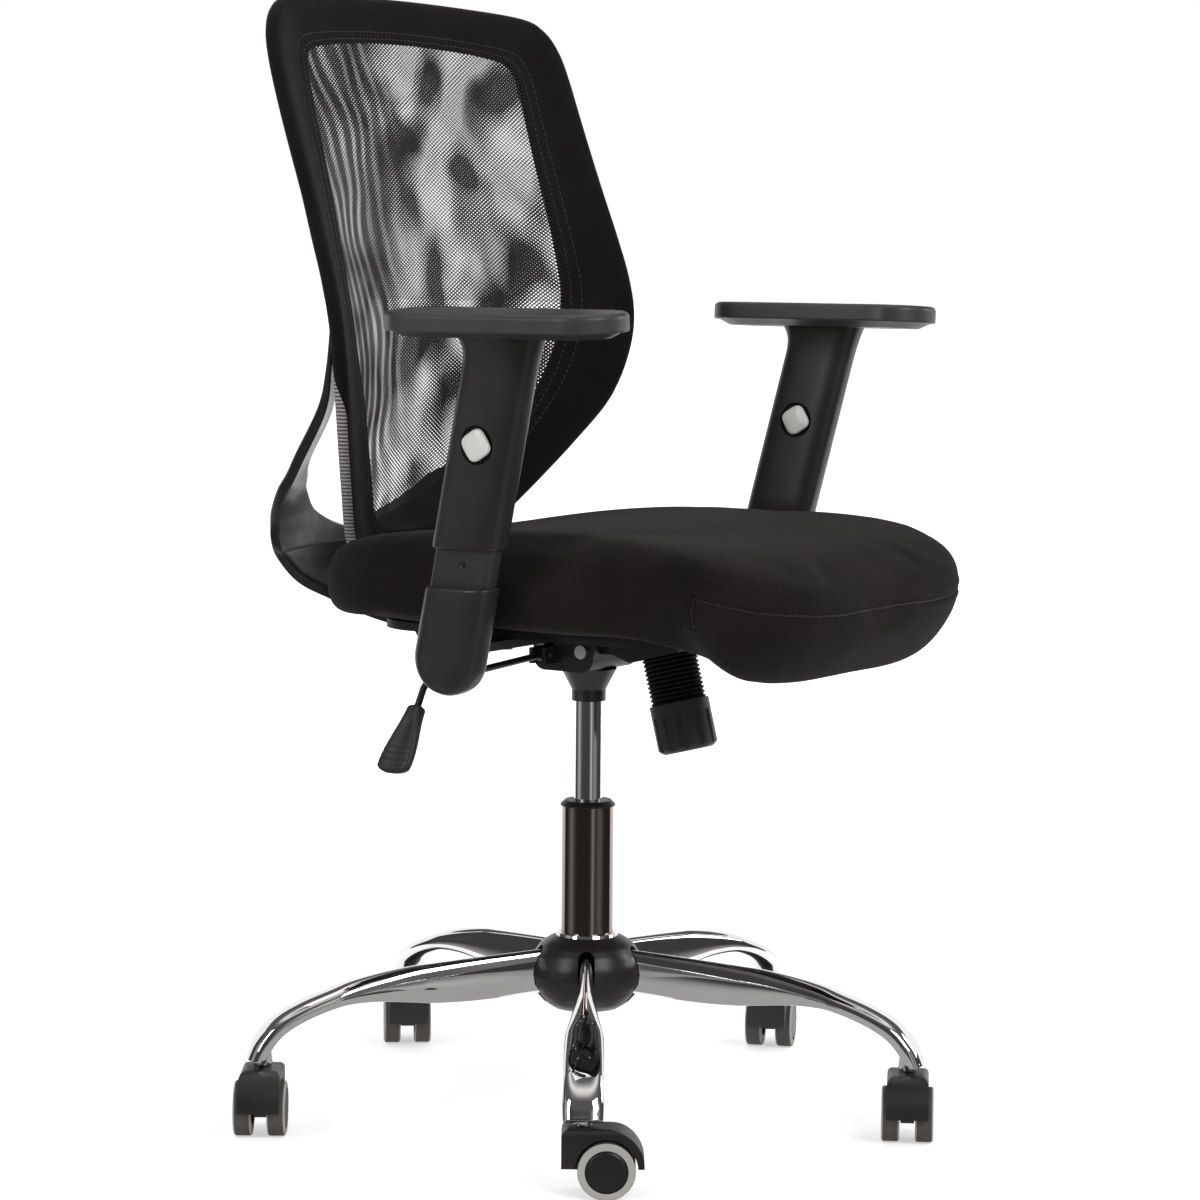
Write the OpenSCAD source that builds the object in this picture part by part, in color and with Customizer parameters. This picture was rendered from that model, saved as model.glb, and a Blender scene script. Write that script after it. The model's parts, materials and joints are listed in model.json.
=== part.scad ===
// Swivel office chair with a mesh back, adjustable arms and a chromed five-leg base.
// Frame: +Z up, -Y is the front, the sitter's right is -X, origin on the floor under the column.

/* [Star base] */
// Radius from the column to each caster stem
base_r = 320; // [300:1:340]
// Direction of the first leg, seen from above
leg_start = 212.9; // [205:0.1:221]
// Height of the leg's centre line at the hub
leg_root_z = 139; // [137:1:141]
// Height of a leg's section at the hub
leg_root_h = 42; // [40:1:45]
// Width of a leg at the hub
leg_root_w = 13; // [11:0.5:15]
// Thickness of a leg at the tip
leg_tip_h = 18; // [16:0.5:20]
// Width of a leg at the tip
leg_tip_w = 37; // [32:0.5:39]
// Height of the underside of the leg tip above the floor
leg_tip_z = 63; // [62.8:0.1:64]
// Outer radius of the welded hub tube
hub_r = 30; // [29:0.5:32]
// Bottom of the hub tube
hub_z0 = 102; // [98:1:106]
// Top of the hub tube
hub_z1 = 174; // [171:1:178]
// Largest radius of the plastic hub cover
cover_r = 55.5; // [53:0.5:58]
// Wall of the hub cover
cover_wall = 2.5; // [2:0.1:3]

/* [Casters] */
// Wheel radius
wheel_r = 25.8; // [24:0.1:27]
// Width of one wheel
wheel_w = 17; // [15:0.5:18]
// Gap between the twin wheels
wheel_gap = 14.6; // [14:0.1:17]
// Inner radius of the soft tread
tread_r = 19.3; // [17:0.1:21]
// Distance from the stem to the axle
trail = 21; // [19:0.5:23]
// Width of the caster hood
hood_w = 39; // [36:1:42]
// Outer radius of the hood's arc
hood_r = 33.5; // [32.5:0.1:34.5]
// Distance of the hood's rear wall behind the stem
hood_back = 19; // [17:0.5:20]
// Top of the hood above the floor
hood_top = 62; // [61:0.5:62.5]
// Diameter of the caster stem
stem_d = 10; // [9:0.5:10.5]
// Diameter of the wheel axle
axle_d = 6; // [5:0.5:7]

/* [Column] */
// Outer diameter of the column tube
column_d = 50; // [48:0.5:51]
// Wall of the column tube
column_wall = 2.5; // [2:0.1:3]
// Top of the column tube
column_top = 297; // [285:1:302]
// Diameter of the sliding gas cylinder
gas_d = 28; // [27:0.5:28.5]
// Travel of the height adjustment
height_travel = 90; // [80:1:92]
// Diameter of the piston rod
rod_d = 10; // [8:0.5:12]
// Underside of the socket's collar
socket_z = 399; // [397:1:402]

/* [Tilt mechanism] */
// Distance of the tilt pin in front of the column
pin_front = 18; // [16:0.5:22]
// Height of the tilt pin
pin_z = 450; // [449:0.5:451]
// Diameter of the tilt pin
pin_d = 10; // [8:0.5:11]
// Width of the steel pan
pan_w = 78; // [74:1:84]
// Sheet thickness of the pan and the seat plate
sheet = 2.5; // [2:0.1:3]
// Underside of the pan
pan_z = 430; // [428:0.5:431]
// Front end of the pan, in front of the column
pan_front = 34; // [32:0.5:38]
// Rear end of the pan, behind the column
pan_rear = 38; // [35:0.5:42]
// Lean of the tension bolt away from vertical, in degrees
bolt_lean = 14.5; // [13:0.5:16]
// Diameter of the tension bolt
bolt_d = 10; // [8:0.5:11]
// Diameter of the tension knob
knob_d = 57; // [54:1:60]
// Length of the tension knob
knob_h = 47; // [43:1:50]
// Grooves round the knob
knob_grooves = 12; // [10:1:14]
// Outer diameter of the bellows
bellows_d = 53; // [50:0.5:54]
// Folds of the bellows
bellows_folds = 12; // [9:1:14]

/* [Lever] */
// Diameter of the lever rod
lever_d = 6.5; // [6:0.5:8]
// Distance of the lever behind the column
lever_y = 20; // [18:0.5:22]
// Reach of the lever from the column to the bend
lever_reach = 242; // [232:1:248]
// Length of the paddle grip
paddle_l = 66; // [56:1:68]
// Width of the paddle at its end
paddle_w = 34; // [28:1:36]
// Flare of the paddle's end towards the rear
paddle_flare = 5; // [2:0.5:7]

/* [Seat] */
// Width of the cushion
seat_w = 480; // [470:1:484]
// Front edge of the cushion, in front of the column
seat_front = 333; // [320:1:340]
// Rear edge of the cushion, behind the column
seat_rear = 197; // [193:1:199]
// Underside of the seat shell
shell_z = 478; // [477:0.5:480]
// Thickness of the seat shell
shell_t = 8; // [6:0.5:9]
// Height of the cushion above the shell at its crown
cushion_h = 91; // [84:1:96]
// Fall of the cushion's underside at the front
front_drop = 46; // [38:1:48]

/* [Back] */
// Scale on the width of the back
back_w_scale = 1; // [0.97:0.005:1.01]
// Width of the back frame's rail
rail_d = 13; // [11:0.5:14]
// Depth of the back frame's rail from front to rear
rail_deep = 13.5; // [13:0.5:16]
// Thickness of the stretched cover panel
cover_t = 3; // [2.5:0.25:4]
// Thickness of the yoke band
yoke_t = 12; // [11:0.5:13]
// Width of the yoke where it bolts to the seat
yoke_base_w = 190; // [170:2:200]

/* [Arms] */
// Distance of each arm's button outside the edge of the cushion
arm_out = 38; // [36:0.5:41]
// Distance of each arm's button in front of the column
arm_front = 74; // [70:1:78]
// Height of each arm's button
arm_z = 660; // [655:1:664]
// Forward lean of the arms, in degrees
arm_lean = 13.4; // [12.5:0.1:14.5]
// Outward splay of the arms, in degrees
arm_splay = 3.1; // [2.5:0.1:3.5]
// Depth of the arm sleeve from front to rear
sleeve_d = 70; // [69:0.5:73]
// Thickness of the arm sleeve
sleeve_t = 34; // [33:0.5:36]
// Depth of the inner post from front to rear
post_d = 63; // [60:0.5:64]
// Thickness of the inner post
post_t = 20; // [18:0.5:20.5]
// Width of the button across its corners
button_d = 29; // [26:0.5:31]
// Travel of the button
button_travel = 3; // [2:0.25:3]
// Length of the arm pad
pad_l = 242; // [232:1:250]
// Width of the arm pad
pad_w = 85; // [78:1:88]
// Thickness of the arm pad
pad_t = 23; // [20:0.5:24]
// Height of the top of the arm pad
pad_top = 777; // [775:1:782]

/* [Hidden] */
$fn = 64;
hull_fn = 32;
legs = 5;
leg_step = 360 / legs;
// Way each caster trails from its stem, seen from above
caster_dir = [303.3, 208, 23, 38, 213.3];

// Named clearances
run = 0.05;      // radial clearance of a shaft that turns in a bore
press = 0.01;    // clearance of a pressed pin, which keeps it a solid of its own
slide_gap = 0.3; // clearance round a sliding piece
air = 0.5;       // clearance between pieces that pass each other
far = 500;       // reach of a block that cuts everything on one side

// Column and gas spring
column_r = column_d / 2;
column_in = column_r - column_wall;
gas_r = gas_d / 2;
bush_flange = 5.5;
bush_chamfer = 4;
bush_top = column_top + bush_flange;
bush_l = 44;
foot_t = 4;
bearing_t = 6;
bearing_r = 12;
rod_z1 = 230;
piston_t = 10;
gas_z0 = rod_z1 - 25;
gas_guide = 10;
gas_wall = 2.5;
gas_z1 = pan_z + 6;
release_r = 4;
release_h = 3;

// Tilt mechanism
socket_wall = 2.5;
socket_collar = 11;
socket_flare = 13;
pan_h = 30;
pan_r = 13;
plate_z = shell_z - sheet;
ear_t = 3;
ear_r = 9;
ear_x = pan_w / 2 - sheet - air;
pin_r = pin_d / 2;
pin_head_r = 6.5;
pin_head_t = 4;
bolt_front = 102;
knob_top = 405;
nose_lift = 45;
nose_l = 28;
nose_w = 56;
bolt_r = bolt_d / 2;
bolt_slot = 9;
bolt_play = 1.5;
washer_t = 2;
knob_rim = 7;
knob_skirt = 1;

// Lever
lever_z = 446;
lever_r = lever_d / 2;
lever_droop = 2.8;
lever_bend_r = 12;
lever_bend = 57;
lever_tail = 16;
lever_inner = 38;
hinge_x = pan_w / 2 + 12;
lever_run = lever_reach - hinge_x - 8;
hinge_pin_r = 2;
hinge_l = 19;
eye_r = 6;
eye_w = 9;

// Seat
shell_top = shell_z + shell_t;
shell_w = 394;
shell_front = 205;
shell_rear = 125;
shell_r = 60;
bolt_m6 = 3;
head_r = 5.5;
head_t = 4;
bolt_grip = 6;
plate_w = 170;
plate_front = 118;
plate_rear = 60;
plate_bolts = [for (x = [-1, 1], y = [-98, 46]) [x * 72, y]];
bar_w = 40;
bar_t = 8;
bar_y = -27;
bar_x0 = 112;
bar_bolts = [for (s = [-1, 1], x = [16, 66]) [s * (bar_x0 + x), bar_y]];
yoke_front = 66;
yoke_bolt_gap = 60;
yoke_bolts = [for (k = [-1:1]) [k * yoke_bolt_gap, yoke_front + 24]];

// Arms
arm_x = seat_w / 2 + arm_out;
arm_rise = cos(arm_lean) * cos(arm_splay);
bar_x1 = arm_x - (arm_z - shell_z) * tan(arm_splay) + 8;
sleeve_r = 12;
sleeve_lo = -120;
sleeve_rim = arm_z - 94.5;
flare_lo = 84;
flare_hi = 104;
flare_w = 7;
flare_rear = 4;
post_r = 7;
post_hi = 20;
boot_d = 68;
boot_t = 37;
boot_r = 12;
boot_hi = -105;
boot_rim = shell_z + 53;
boot_centre = -199;
post_lo = (shell_z - arm_z) / arm_rise - 10;
channel_hi = post_hi + 45;
recess_r = 17.5;
recess_wall = 2;
recess_floor = post_t / 2 + slide_gap + recess_wall;
button_proud = 2;
button_stem_r = 4;
groove_w = 10;
groove_d = button_travel + 0.8;
groove_lo = -45;
pad_x = arm_x + 3;
pad_y = -arm_front - 20;
pad_edge = 5;

// ---------------------------------------------------------------- helpers

// Smooth value between knots [position, value...] by a cubic through the neighbours
function knot_at(k, t) = let (hits = [for (i = [0:len(k) - 2]) if (t >= k[i][0]) i])
  len(hits) == 0 ? 0 : hits[len(hits) - 1];
function slope(k, i, c) = let (a = max(i - 1, 0), b = min(i + 1, len(k) - 1))
  (k[b][c] - k[a][c]) / (k[b][0] - k[a][0]);
function spline(k, t, c) = let (
    i = knot_at(k, t),
    w = k[i + 1][0] - k[i][0],
    u = min(max((t - k[i][0]) / w, 0), 1),
    m0 = slope(k, i, c) * w,
    m1 = slope(k, i + 1, c) * w)
  (2*u*u*u - 3*u*u + 1) * k[i][c] + (u*u*u - 2*u*u + u) * m0
  + (3*u*u - 2*u*u*u) * k[i + 1][c] + (u*u*u - u*u) * m1;
function ease(t) = let (u = min(max(t, 0), 1)) u * u * (3 - 2 * u);
function power(v, e) = sign(v) * pow(abs(v), e);
function middle(ring) = [for (c = [0:2]) [for (p = ring) p[c]] * [for (p = ring) 1] / len(ring)];

// Solid through rings of points, closed over each end ring by a fan
module skin(rings) {
  n = len(rings[0]);
  m = len(rings);
  points = concat([for (r = rings) each r], [middle(rings[0]), middle(rings[m - 1])]);
  sides = [for (i = [0:m - 2], j = [0:n - 1])
    let (a = i * n + j, b = i * n + (j + 1) % n)
    each [[a, b, b + n], [a, b + n, a + n]]];
  starts = [for (j = [0:n - 1]) [m * n, (j + 1) % n, j]];
  ends = [for (j = [0:n - 1]) [m * n + 1, (m - 1) * n + j, (m - 1) * n + (j + 1) % n]];
  polyhedron(points, concat(sides, starts, ends));
}

// Solid through rings of points whose last ring joins the first
module loop_skin(rings) {
  n = len(rings[0]);
  m = len(rings);
  polyhedron([for (r = rings) each r],
    [for (i = [0:m - 1], j = [0:n - 1])
      let (a = i * n + j, b = i * n + (j + 1) % n, k = (i + 1) % m * n - i * n)
      each [[a, b, b + k], [a, b + k, a + k]]]);
}

// Rectangle with round corners, drawn from circles and squares
module rounded(w, h, r) {
  square([w - 2 * r, h], center = true);
  square([w, h - 2 * r], center = true);
  for (x = [-1, 1], y = [-1, 1])
    translate([x * (w / 2 - r), y * (h / 2 - r)]) circle(r);
}

module at_legs() {
  for (i = [0:legs - 1]) rotate(leg_start + i * leg_step) children();
}

// Blocks that hold everything above or below a height
module above(z) {
  translate([-far, -far, z]) cube([2 * far, 2 * far, far]);
}

module below(z) {
  above(z - far);
}

// Frame of one arm: z runs up the sleeve, x across it, origin at the button
module arm_frame(side) {
  translate([side * arm_x, -arm_front, arm_z])
    rotate([arm_lean, 0, 0]) rotate([0, side * arm_splay, 0]) children();
}

// Frame of the tension bolt: z runs up the bolt, origin at the top of the knob
module bolt_frame() {
  translate([0, -bolt_front, knob_top]) rotate([-bolt_lean, 0, 0]) children();
}

// ---------------------------------------------------------------- base

// Stations of a leg: radius, height, slope below level, section height, section width
leg_knots = [
  [0, 24, leg_root_z, 3, leg_root_h, leg_root_w],
  [1, 105, leg_root_z - 6, 4, leg_root_h, leg_root_w + 1],
  [2, 151, leg_root_z - 8, 5, leg_root_h - 3, leg_root_w + 4],
  [3, 175, leg_root_z - 8, 6, leg_root_h - 7, leg_root_w + 7],
  [4, 205, leg_root_z - 9, 9, leg_root_h - 14, 26],
  [5, 232, leg_root_z - 12, 14, 22.5, leg_tip_w - 5],
  [6, 251, leg_root_z - 16.5, 17, leg_tip_h + 0.7, leg_tip_w - 1],
  [7, 281, leg_root_z - 27, 23, leg_tip_h, leg_tip_w],
  [8, base_r - 15, leg_root_z - 40, 38, leg_tip_h + 0.5, leg_tip_w],
  [9, base_r, leg_tip_z + 20, 57, leg_tip_h + 0.5, leg_tip_w],
  [10, base_r + 8, leg_tip_z + 4, 68, leg_tip_h, leg_tip_w - 1]];
leg_last = len(leg_knots) - 1;
leg_rings = 25;
leg_sides = 20;
socket_r = 9.5;
socket_h = 22;

function leg_ring(t) = let (
    r = spline(leg_knots, t, 1), z = spline(leg_knots, t, 2), a = spline(leg_knots, t, 3),
    h = spline(leg_knots, t, 4) / 2, w = spline(leg_knots, t, 5) / 2)
  [for (j = [0:leg_sides - 1])
    let (q = j * 360 / leg_sides, up = power(cos(q), 0.8) * h)
    [r + up * sin(a), power(sin(q), 0.8) * w, z + up * cos(a)]];

module leg() {
  difference() {
    union() {
      skin([for (i = [0:leg_rings - 1]) leg_ring(i * leg_last / (leg_rings - 1))]);
      translate([base_r, 0, leg_tip_z]) cylinder(r = socket_r, h = socket_h);
    }
    translate([base_r, 0, 0]) cylinder(r = stem_d / 2, h = leg_tip_z + socket_h - 3);
    translate([0, 0, hub_z0 - 1]) cylinder(r = hub_r - 2, h = hub_z1 - hub_z0 + 2);
  }
}

module star_base() {
  color("silver") {
    at_legs() leg();
    difference() {
      translate([0, 0, hub_z0]) cylinder(r = hub_r, h = hub_z1 - hub_z0);
      translate([0, 0, hub_z0 - 1]) cylinder(r = column_r, h = hub_z1 - hub_z0 + 2);
    }
  }
}

// Half section of the hub cover, from its bottom rim round to its collar
cover_mid = hub_z0 + 32;
cover_low = hub_z0 - 1;
cover_high = hub_z1 - 3;
cover_profile = [
  [0.6, cover_low], [0.74, cover_low + 5], [0.88, cover_low + 14], [0.97, cover_low + 23],
  [1, cover_mid], [0.975, cover_mid + 10], [0.9, cover_mid + 21], [0.8, cover_mid + 29],
  [0.66, cover_high - 3]];

module cover_half(grow) {
  bore = hub_r + slide_gap;
  polygon(concat(
    [for (p = cover_profile)
      [p[0] * cover_r + grow, p[1] + grow * (p[1] - cover_mid) / (cover_high - cover_mid)]],
    [[bore, cover_high + grow], [bore, cover_low - grow]]));
}

module hub_cover() {
  bore = hub_r + slide_gap;
  notch_w = leg_root_w + 3;
  notch_z = leg_root_z + leg_root_h / 2 + 2 - notch_w / 2;
  color([0.1, 0.1, 0.1])
    difference() {
      rotate_extrude() cover_half(0);
      rotate_extrude() intersection() {
        cover_half(-cover_wall);
        translate([bore + cover_wall, 0]) square([cover_r, 2 * cover_high]);
      }
      translate([0, 0, cover_low - 1]) cylinder(r = bore, h = cover_high - cover_low + 2);
      at_legs() translate([hub_r - 4, 0, 0]) {
        translate([0, -notch_w / 2, cover_low - 1]) cube([cover_r, notch_w, notch_z - cover_low + 1]);
        translate([0, 0, notch_z]) rotate([0, 90, 0]) cylinder(d = notch_w, h = cover_r);
      }
    }
}

module column_tube() {
  color([0.16, 0.14, 0.13])
    difference() {
      translate([0, 0, hub_z0]) cylinder(r = column_r, h = column_top - hub_z0);
      translate([0, 0, hub_z0 + foot_t]) cylinder(r = column_in, h = column_top);
      translate([0, 0, hub_z0 - 1]) cylinder(r = rod_d / 2 + run, h = foot_t + 2);
    }
}

module column_bush() {
  color([0.08, 0.08, 0.08])
    difference() {
      union() {
        translate([0, 0, column_top - bush_l]) cylinder(r = column_in, h = bush_l);
        translate([0, 0, column_top]) {
          cylinder(r = column_r + 1.5, h = bush_flange - bush_chamfer);
          translate([0, 0, bush_flange - bush_chamfer])
            cylinder(r1 = column_r + 1.5, r2 = column_r + 1.5 - bush_chamfer, h = bush_chamfer);
        }
      }
      translate([0, 0, column_top - bush_l - 1])
        cylinder(r = gas_r + run, h = bush_l + bush_flange + 2);
    }
}

module piston_rod() {
  color("silver") {
    translate([0, 0, hub_z0 - 3]) cylinder(r = rod_d / 2, h = rod_z1 - hub_z0 + 3);
    translate([0, 0, hub_z0 + foot_t]) cylinder(r = bearing_r, h = bearing_t);
    translate([0, 0, rod_z1 - piston_t]) cylinder(r = gas_r - gas_wall - run, h = piston_t);
  }
}

module gas_cylinder() {
  color([0.75, 0.75, 0.77])
    difference() {
      union() {
        translate([0, 0, gas_z0]) cylinder(r = gas_r, h = gas_z1 - gas_z0);
        translate([0, 0, gas_z1]) cylinder(r = release_r, h = release_h);
      }
      translate([0, 0, gas_z0 - 1]) cylinder(r = rod_d / 2 + run, h = gas_guide + 2);
      translate([0, 0, gas_z0 + gas_guide])
        cylinder(r = gas_r - gas_wall, h = height_travel + piston_t + 20);
    }
}

// ---------------------------------------------------------------- casters

web_w = wheel_gap - 2 * 0.8;
hood_in = wheel_r + 2;
hood_corner = 7;
hood_wall = 10;
hood_low = wheel_r + 1.5;
hood_edge = 6;
boss_r = 9;
axle_l = wheel_gap + 2 * wheel_w - 4;
stem_seat = 36;

// Places one caster: its stem on the z axis, its wheels trailing towards +x
module at_caster(i) {
  rotate(leg_start + i * leg_step) translate([base_r, 0, 0])
    rotate(caster_dir[i] - leg_start - i * leg_step) children();
}

// Side outline of the hood: an arc over the wheels, level above the stem, with a straight wall
module hood_outline() {
  rise = hood_top - wheel_r - hood_r;
  difference() {
    union() {
      intersection() {
        translate([trail, wheel_r + rise]) circle(hood_r);
        translate([0, hood_low]) square([trail + hood_r, hood_top]);
      }
      translate([-hood_back, hood_low]) square([trail + hood_back, hood_top - hood_corner - hood_low]);
      translate([hood_corner - hood_back, hood_low])
        square([trail + hood_back - hood_corner, hood_top - hood_low]);
      translate([hood_corner - hood_back, hood_top - hood_corner]) circle(hood_corner);
    }
    translate([trail, wheel_r]) circle(hood_in);
    translate([hood_wall - hood_back, 0]) square([trail - hood_wall + hood_back, wheel_r + 5]);
    translate([trail, 0]) square([hood_in, wheel_r + 2]);
  }
}

module caster_housing(i) {
  color([0.12, 0.12, 0.12]) at_caster(i) {
    difference() {
      union() {
        intersection() {
          rotate([90, 0, 0]) linear_extrude(hood_w, center = true) hood_outline();
          translate([trail - hood_r - 20, 0, 0]) rotate([90, 0, 90]) linear_extrude(2 * hood_r + 40)
            translate([0, hood_top / 2]) rounded(hood_w, hood_top, hood_edge);
        }
        rotate([90, 0, 0]) linear_extrude(web_w, center = true) {
          hood_outline();
          translate([-boss_r, wheel_r - 2])
            square([trail + boss_r, hood_top - wheel_r - hood_corner]);
          translate([trail, wheel_r]) circle(boss_r);
        }
      }
      translate([0, 0, stem_seat]) cylinder(r = stem_d / 2 + run, h = hood_top);
      translate([trail, 0, wheel_r]) rotate([90, 0, 0])
        cylinder(r = axle_d / 2 + press, h = hood_w, center = true);
    }
    translate([trail, 0, wheel_r]) rotate([90, 0, 0])
      cylinder(r = axle_d / 2, h = axle_l, center = true);
  }
}

// Wheel on the caster's left (side 1) or right (side -1), its axis on the axle
module at_wheel(i, side) {
  at_caster(i) translate([trail, side * wheel_gap / 2, wheel_r]) rotate([-90 * side, 0, 0])
    children();
}

module caster_wheel(i, side) {
  color([0.1, 0.1, 0.1]) at_wheel(i, side) difference() {
    union() {
      cylinder(r = tread_r, h = wheel_w - 1);
      translate([0, 0, wheel_w - 1]) cylinder(r1 = tread_r - 1, r2 = tread_r - 3, h = 1);
    }
    translate([0, 0, -1]) cylinder(r = axle_d / 2 + run, h = (axle_l - wheel_gap) / 2 + 1.5);
    translate([0, 0, -1]) difference() {
      cylinder(r = tread_r - 3, h = 7);
      cylinder(r = 7, h = 8);
    }
  }
}

module caster_tread(i, side) {
  shoulder = 2.5;
  color([0.62, 0.62, 0.62]) at_wheel(i, side) rotate_extrude() {
    translate([tread_r, 0]) square([wheel_r - tread_r - shoulder, wheel_w]);
    translate([tread_r, shoulder]) square([wheel_r - tread_r, wheel_w - 2 * shoulder]);
    for (z = [shoulder, wheel_w - shoulder]) translate([wheel_r - shoulder, z]) circle(shoulder);
  }
}

module caster_stems() {
  color("silver") at_legs() translate([base_r, 0, stem_seat + slide_gap]) {
    cylinder(r = stem_d / 2, h = leg_tip_z + socket_h - 4 - stem_seat);
  }
}

// ---------------------------------------------------------------- tilt mechanism

pan_top = pan_z + pan_h;

// Points of an arc about c from angle a0 to a1
function arc(c, r, a0, a1) = [for (i = [0:8]) let (a = a0 + (a1 - a0) * i / 8)
  c + r * [cos(a), sin(a)]];

// Side outline of the pan, drawn inwards by the sheet where the hollow is cut
module pan_outline(inset, top) {
  r = pan_r - inset;
  polygon(concat(
    [[pan_rear - inset, top], [-pan_front + inset, top]],
    arc([-pan_front + pan_r + 4, pan_z + pan_r], r, 180, 270),
    arc([pan_rear - pan_r, pan_z + pan_r], r, 270, 360)));
}

// Side outline of the nose that carries the spring ahead of the pan
module nose_outline(inset, top) {
  seat_y = -bolt_front + nose_lift * sin(bolt_lean);
  seat_z = knob_top + nose_lift * cos(bolt_lean);
  dy = nose_l * cos(bolt_lean);
  dz = nose_l * sin(bolt_lean);
  polygon([
    [-pan_front + 10, top],
    [seat_y - dy + inset, top],
    [seat_y - dy + inset, seat_z + dz + inset],
    [seat_y + dy, seat_z - dz + inset],
    [-pan_front - 12, pan_top - 12 + inset],
    [-pan_front + 10, pan_top - 12 + inset]]);
}

module upright(width) {
  rotate([90, 0, 90]) linear_extrude(width, center = true) children();
}

module lever_block() {
  block_x = hinge_x + eye_r + 2;
  difference() {
    translate([-block_x, lever_y - hinge_l / 2, lever_z - eye_r - 2])
      cube([block_x - pan_w / 2, hinge_l, 2 * eye_r + 3]);
    translate([-block_x - 1, lever_y - eye_w / 2 - air, lever_z - eye_r - 3])
      cube([block_x - pan_w / 2 + 1, eye_w + 2 * air, 2 * eye_r + 5]);
  }
}

module mechanism_pan() {
  color([0.13, 0.13, 0.13]) difference() {
    union() {
      upright(pan_w) pan_outline(0, pan_top);
      upright(nose_w) nose_outline(0, pan_top);
      lever_block();
    }
    upright(pan_w - 2 * sheet) pan_outline(sheet, pan_top + 1);
    upright(nose_w - 2 * sheet) nose_outline(sheet, pan_top + 1);
    // tilt pin
    translate([0, -pin_front, pin_z]) rotate([0, 90, 0])
      cylinder(r = pin_r, h = pan_w + 2, center = true);
    // socket of the gas spring
    translate([0, 0, pan_z - 1]) cylinder(r = gas_r, h = sheet + 2);
    // slot that lets the bolt lean as the seat tilts
    bolt_frame() {
      for (y = [-bolt_slot, 0]) translate([0, y, 0]) cylinder(r = bolt_r + bolt_play, h = 60);
      translate([-bolt_r - bolt_play, -bolt_slot, 0])
        cube([2 * (bolt_r + bolt_play), bolt_slot, 60]);
    }
    // way of the lever through the wall, and its hinge pin
    translate([-pan_w / 2 - 1, lever_y - eye_w / 2 - air, lever_z - eye_r - 3])
      cube([sheet + 2, eye_w + 2 * air, 40]);
    translate([-hinge_x, lever_y, lever_z]) rotate([90, 0, 0])
      cylinder(r = hinge_pin_r, h = hinge_l + 2, center = true);
  }
}

module taper_socket() {
  color([0.45, 0.45, 0.46]) difference() {
    union() {
      translate([0, 0, socket_z]) cylinder(r = gas_r + socket_wall, h = socket_collar);
      translate([0, 0, socket_z + socket_collar])
        cylinder(r1 = gas_r + socket_wall, r2 = gas_r + socket_flare,
                 h = pan_z - socket_z - socket_collar);
    }
    translate([0, 0, socket_z - 1]) cylinder(r = gas_r, h = 60);
  }
}

module mechanism_pins() {
  color("silver") {
    translate([0, -pin_front, pin_z]) rotate([0, 90, 0]) {
      cylinder(r = pin_r, h = pan_w, center = true);
      for (s = [-1, 1]) translate([0, 0, s * (pan_w + pin_head_t) / 2])
        cylinder(r = pin_head_r, h = pin_head_t, center = true);
    }
    translate([-hinge_x, lever_y, lever_z]) rotate([90, 0, 0])
      cylinder(r = hinge_pin_r, h = hinge_l, center = true);
  }
}

bellows_r = bellows_d / 2;
bellows_z0 = -knob_rim + washer_t;
bellows_l = nose_lift - bellows_z0;

module tension_bellows() {
  fold = bellows_l / bellows_folds;
  deep = 2;
  wall = 2;
  outer = [for (i = [0:bellows_folds - 1])
    each [[bellows_r - deep, i * fold], [bellows_r, (i + 0.5) * fold]]];
  color([0.1, 0.09, 0.09]) bolt_frame() translate([0, 0, bellows_z0]) rotate_extrude()
    polygon(concat(outer, [
      [bellows_r - deep, bellows_l],
      [bellows_r - deep - wall, bellows_l],
      [bellows_r - deep - wall, 0]]));
}

spring_wire = 4;
spring_r = 15;
spring_turns = 5;

module tension_spring() {
  steps = spring_turns * 14;
  rise = bellows_l - spring_wire - 0.4;
  color("dimgray") bolt_frame() translate([0, 0, bellows_z0 + spring_wire / 2 + 0.2])
    skin([for (i = [0:steps]) let (a = i * 360 * spring_turns / steps)
      [for (j = [0:5]) let (q = 60 * j, r = spring_r + spring_wire / 2 * cos(q))
        [r * cos(a), r * sin(a), rise * i / steps + spring_wire / 2 * sin(q)]]]);
}

module spring_washer() {
  color("silver") bolt_frame() translate([0, 0, -knob_rim]) difference() {
    cylinder(r = bellows_r, h = washer_t);
    translate([0, 0, -1]) cylinder(r = bolt_r + run, h = washer_t + 2);
  }
}

module tension_knob() {
  groove_r = 5;
  color([0.14, 0.14, 0.14]) bolt_frame() difference() {
    translate([0, 0, -knob_h]) {
      cylinder(r1 = knob_d / 2 - 6, r2 = knob_d / 2 - 3, h = 1.5);
      translate([0, 0, 1.5]) cylinder(r1 = knob_d / 2 - 3, r2 = knob_d / 2, h = 3);
      translate([0, 0, 4.5]) cylinder(r = knob_d / 2, h = knob_h - 4.5);
    }
    translate([0, 0, -knob_rim]) cylinder(r = bellows_r + knob_skirt, h = knob_rim + 1);
    translate([0, 0, -knob_h + 10]) cylinder(r = bolt_r + run, h = knob_h);
    for (i = [0:knob_grooves - 1]) rotate(i * 360 / knob_grooves)
      translate([knob_d / 2 + 3, 0, -knob_h - 1]) cylinder(r = groove_r, h = knob_h - knob_rim - 3);
  }
}

bolt_head_z = 64;
bolt_head_t = 6;

module tension_bolt() {
  foot = knob_h - 10.5;
  color("silver") bolt_frame() {
    translate([0, 0, -foot]) cylinder(r = bolt_r, h = foot + bolt_head_z);
    translate([0, 0, bolt_head_z]) cylinder(r = bolt_r * 1.7, h = bolt_head_t, $fn = 6);
  }
}

// ---------------------------------------------------------------- lever

// Frame of the lever: x runs outwards along the rod from its hinge
module lever_frame() {
  translate([-hinge_x, lever_y, lever_z]) rotate(180) rotate([0, lever_droop, 0])
    children();
}

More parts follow.
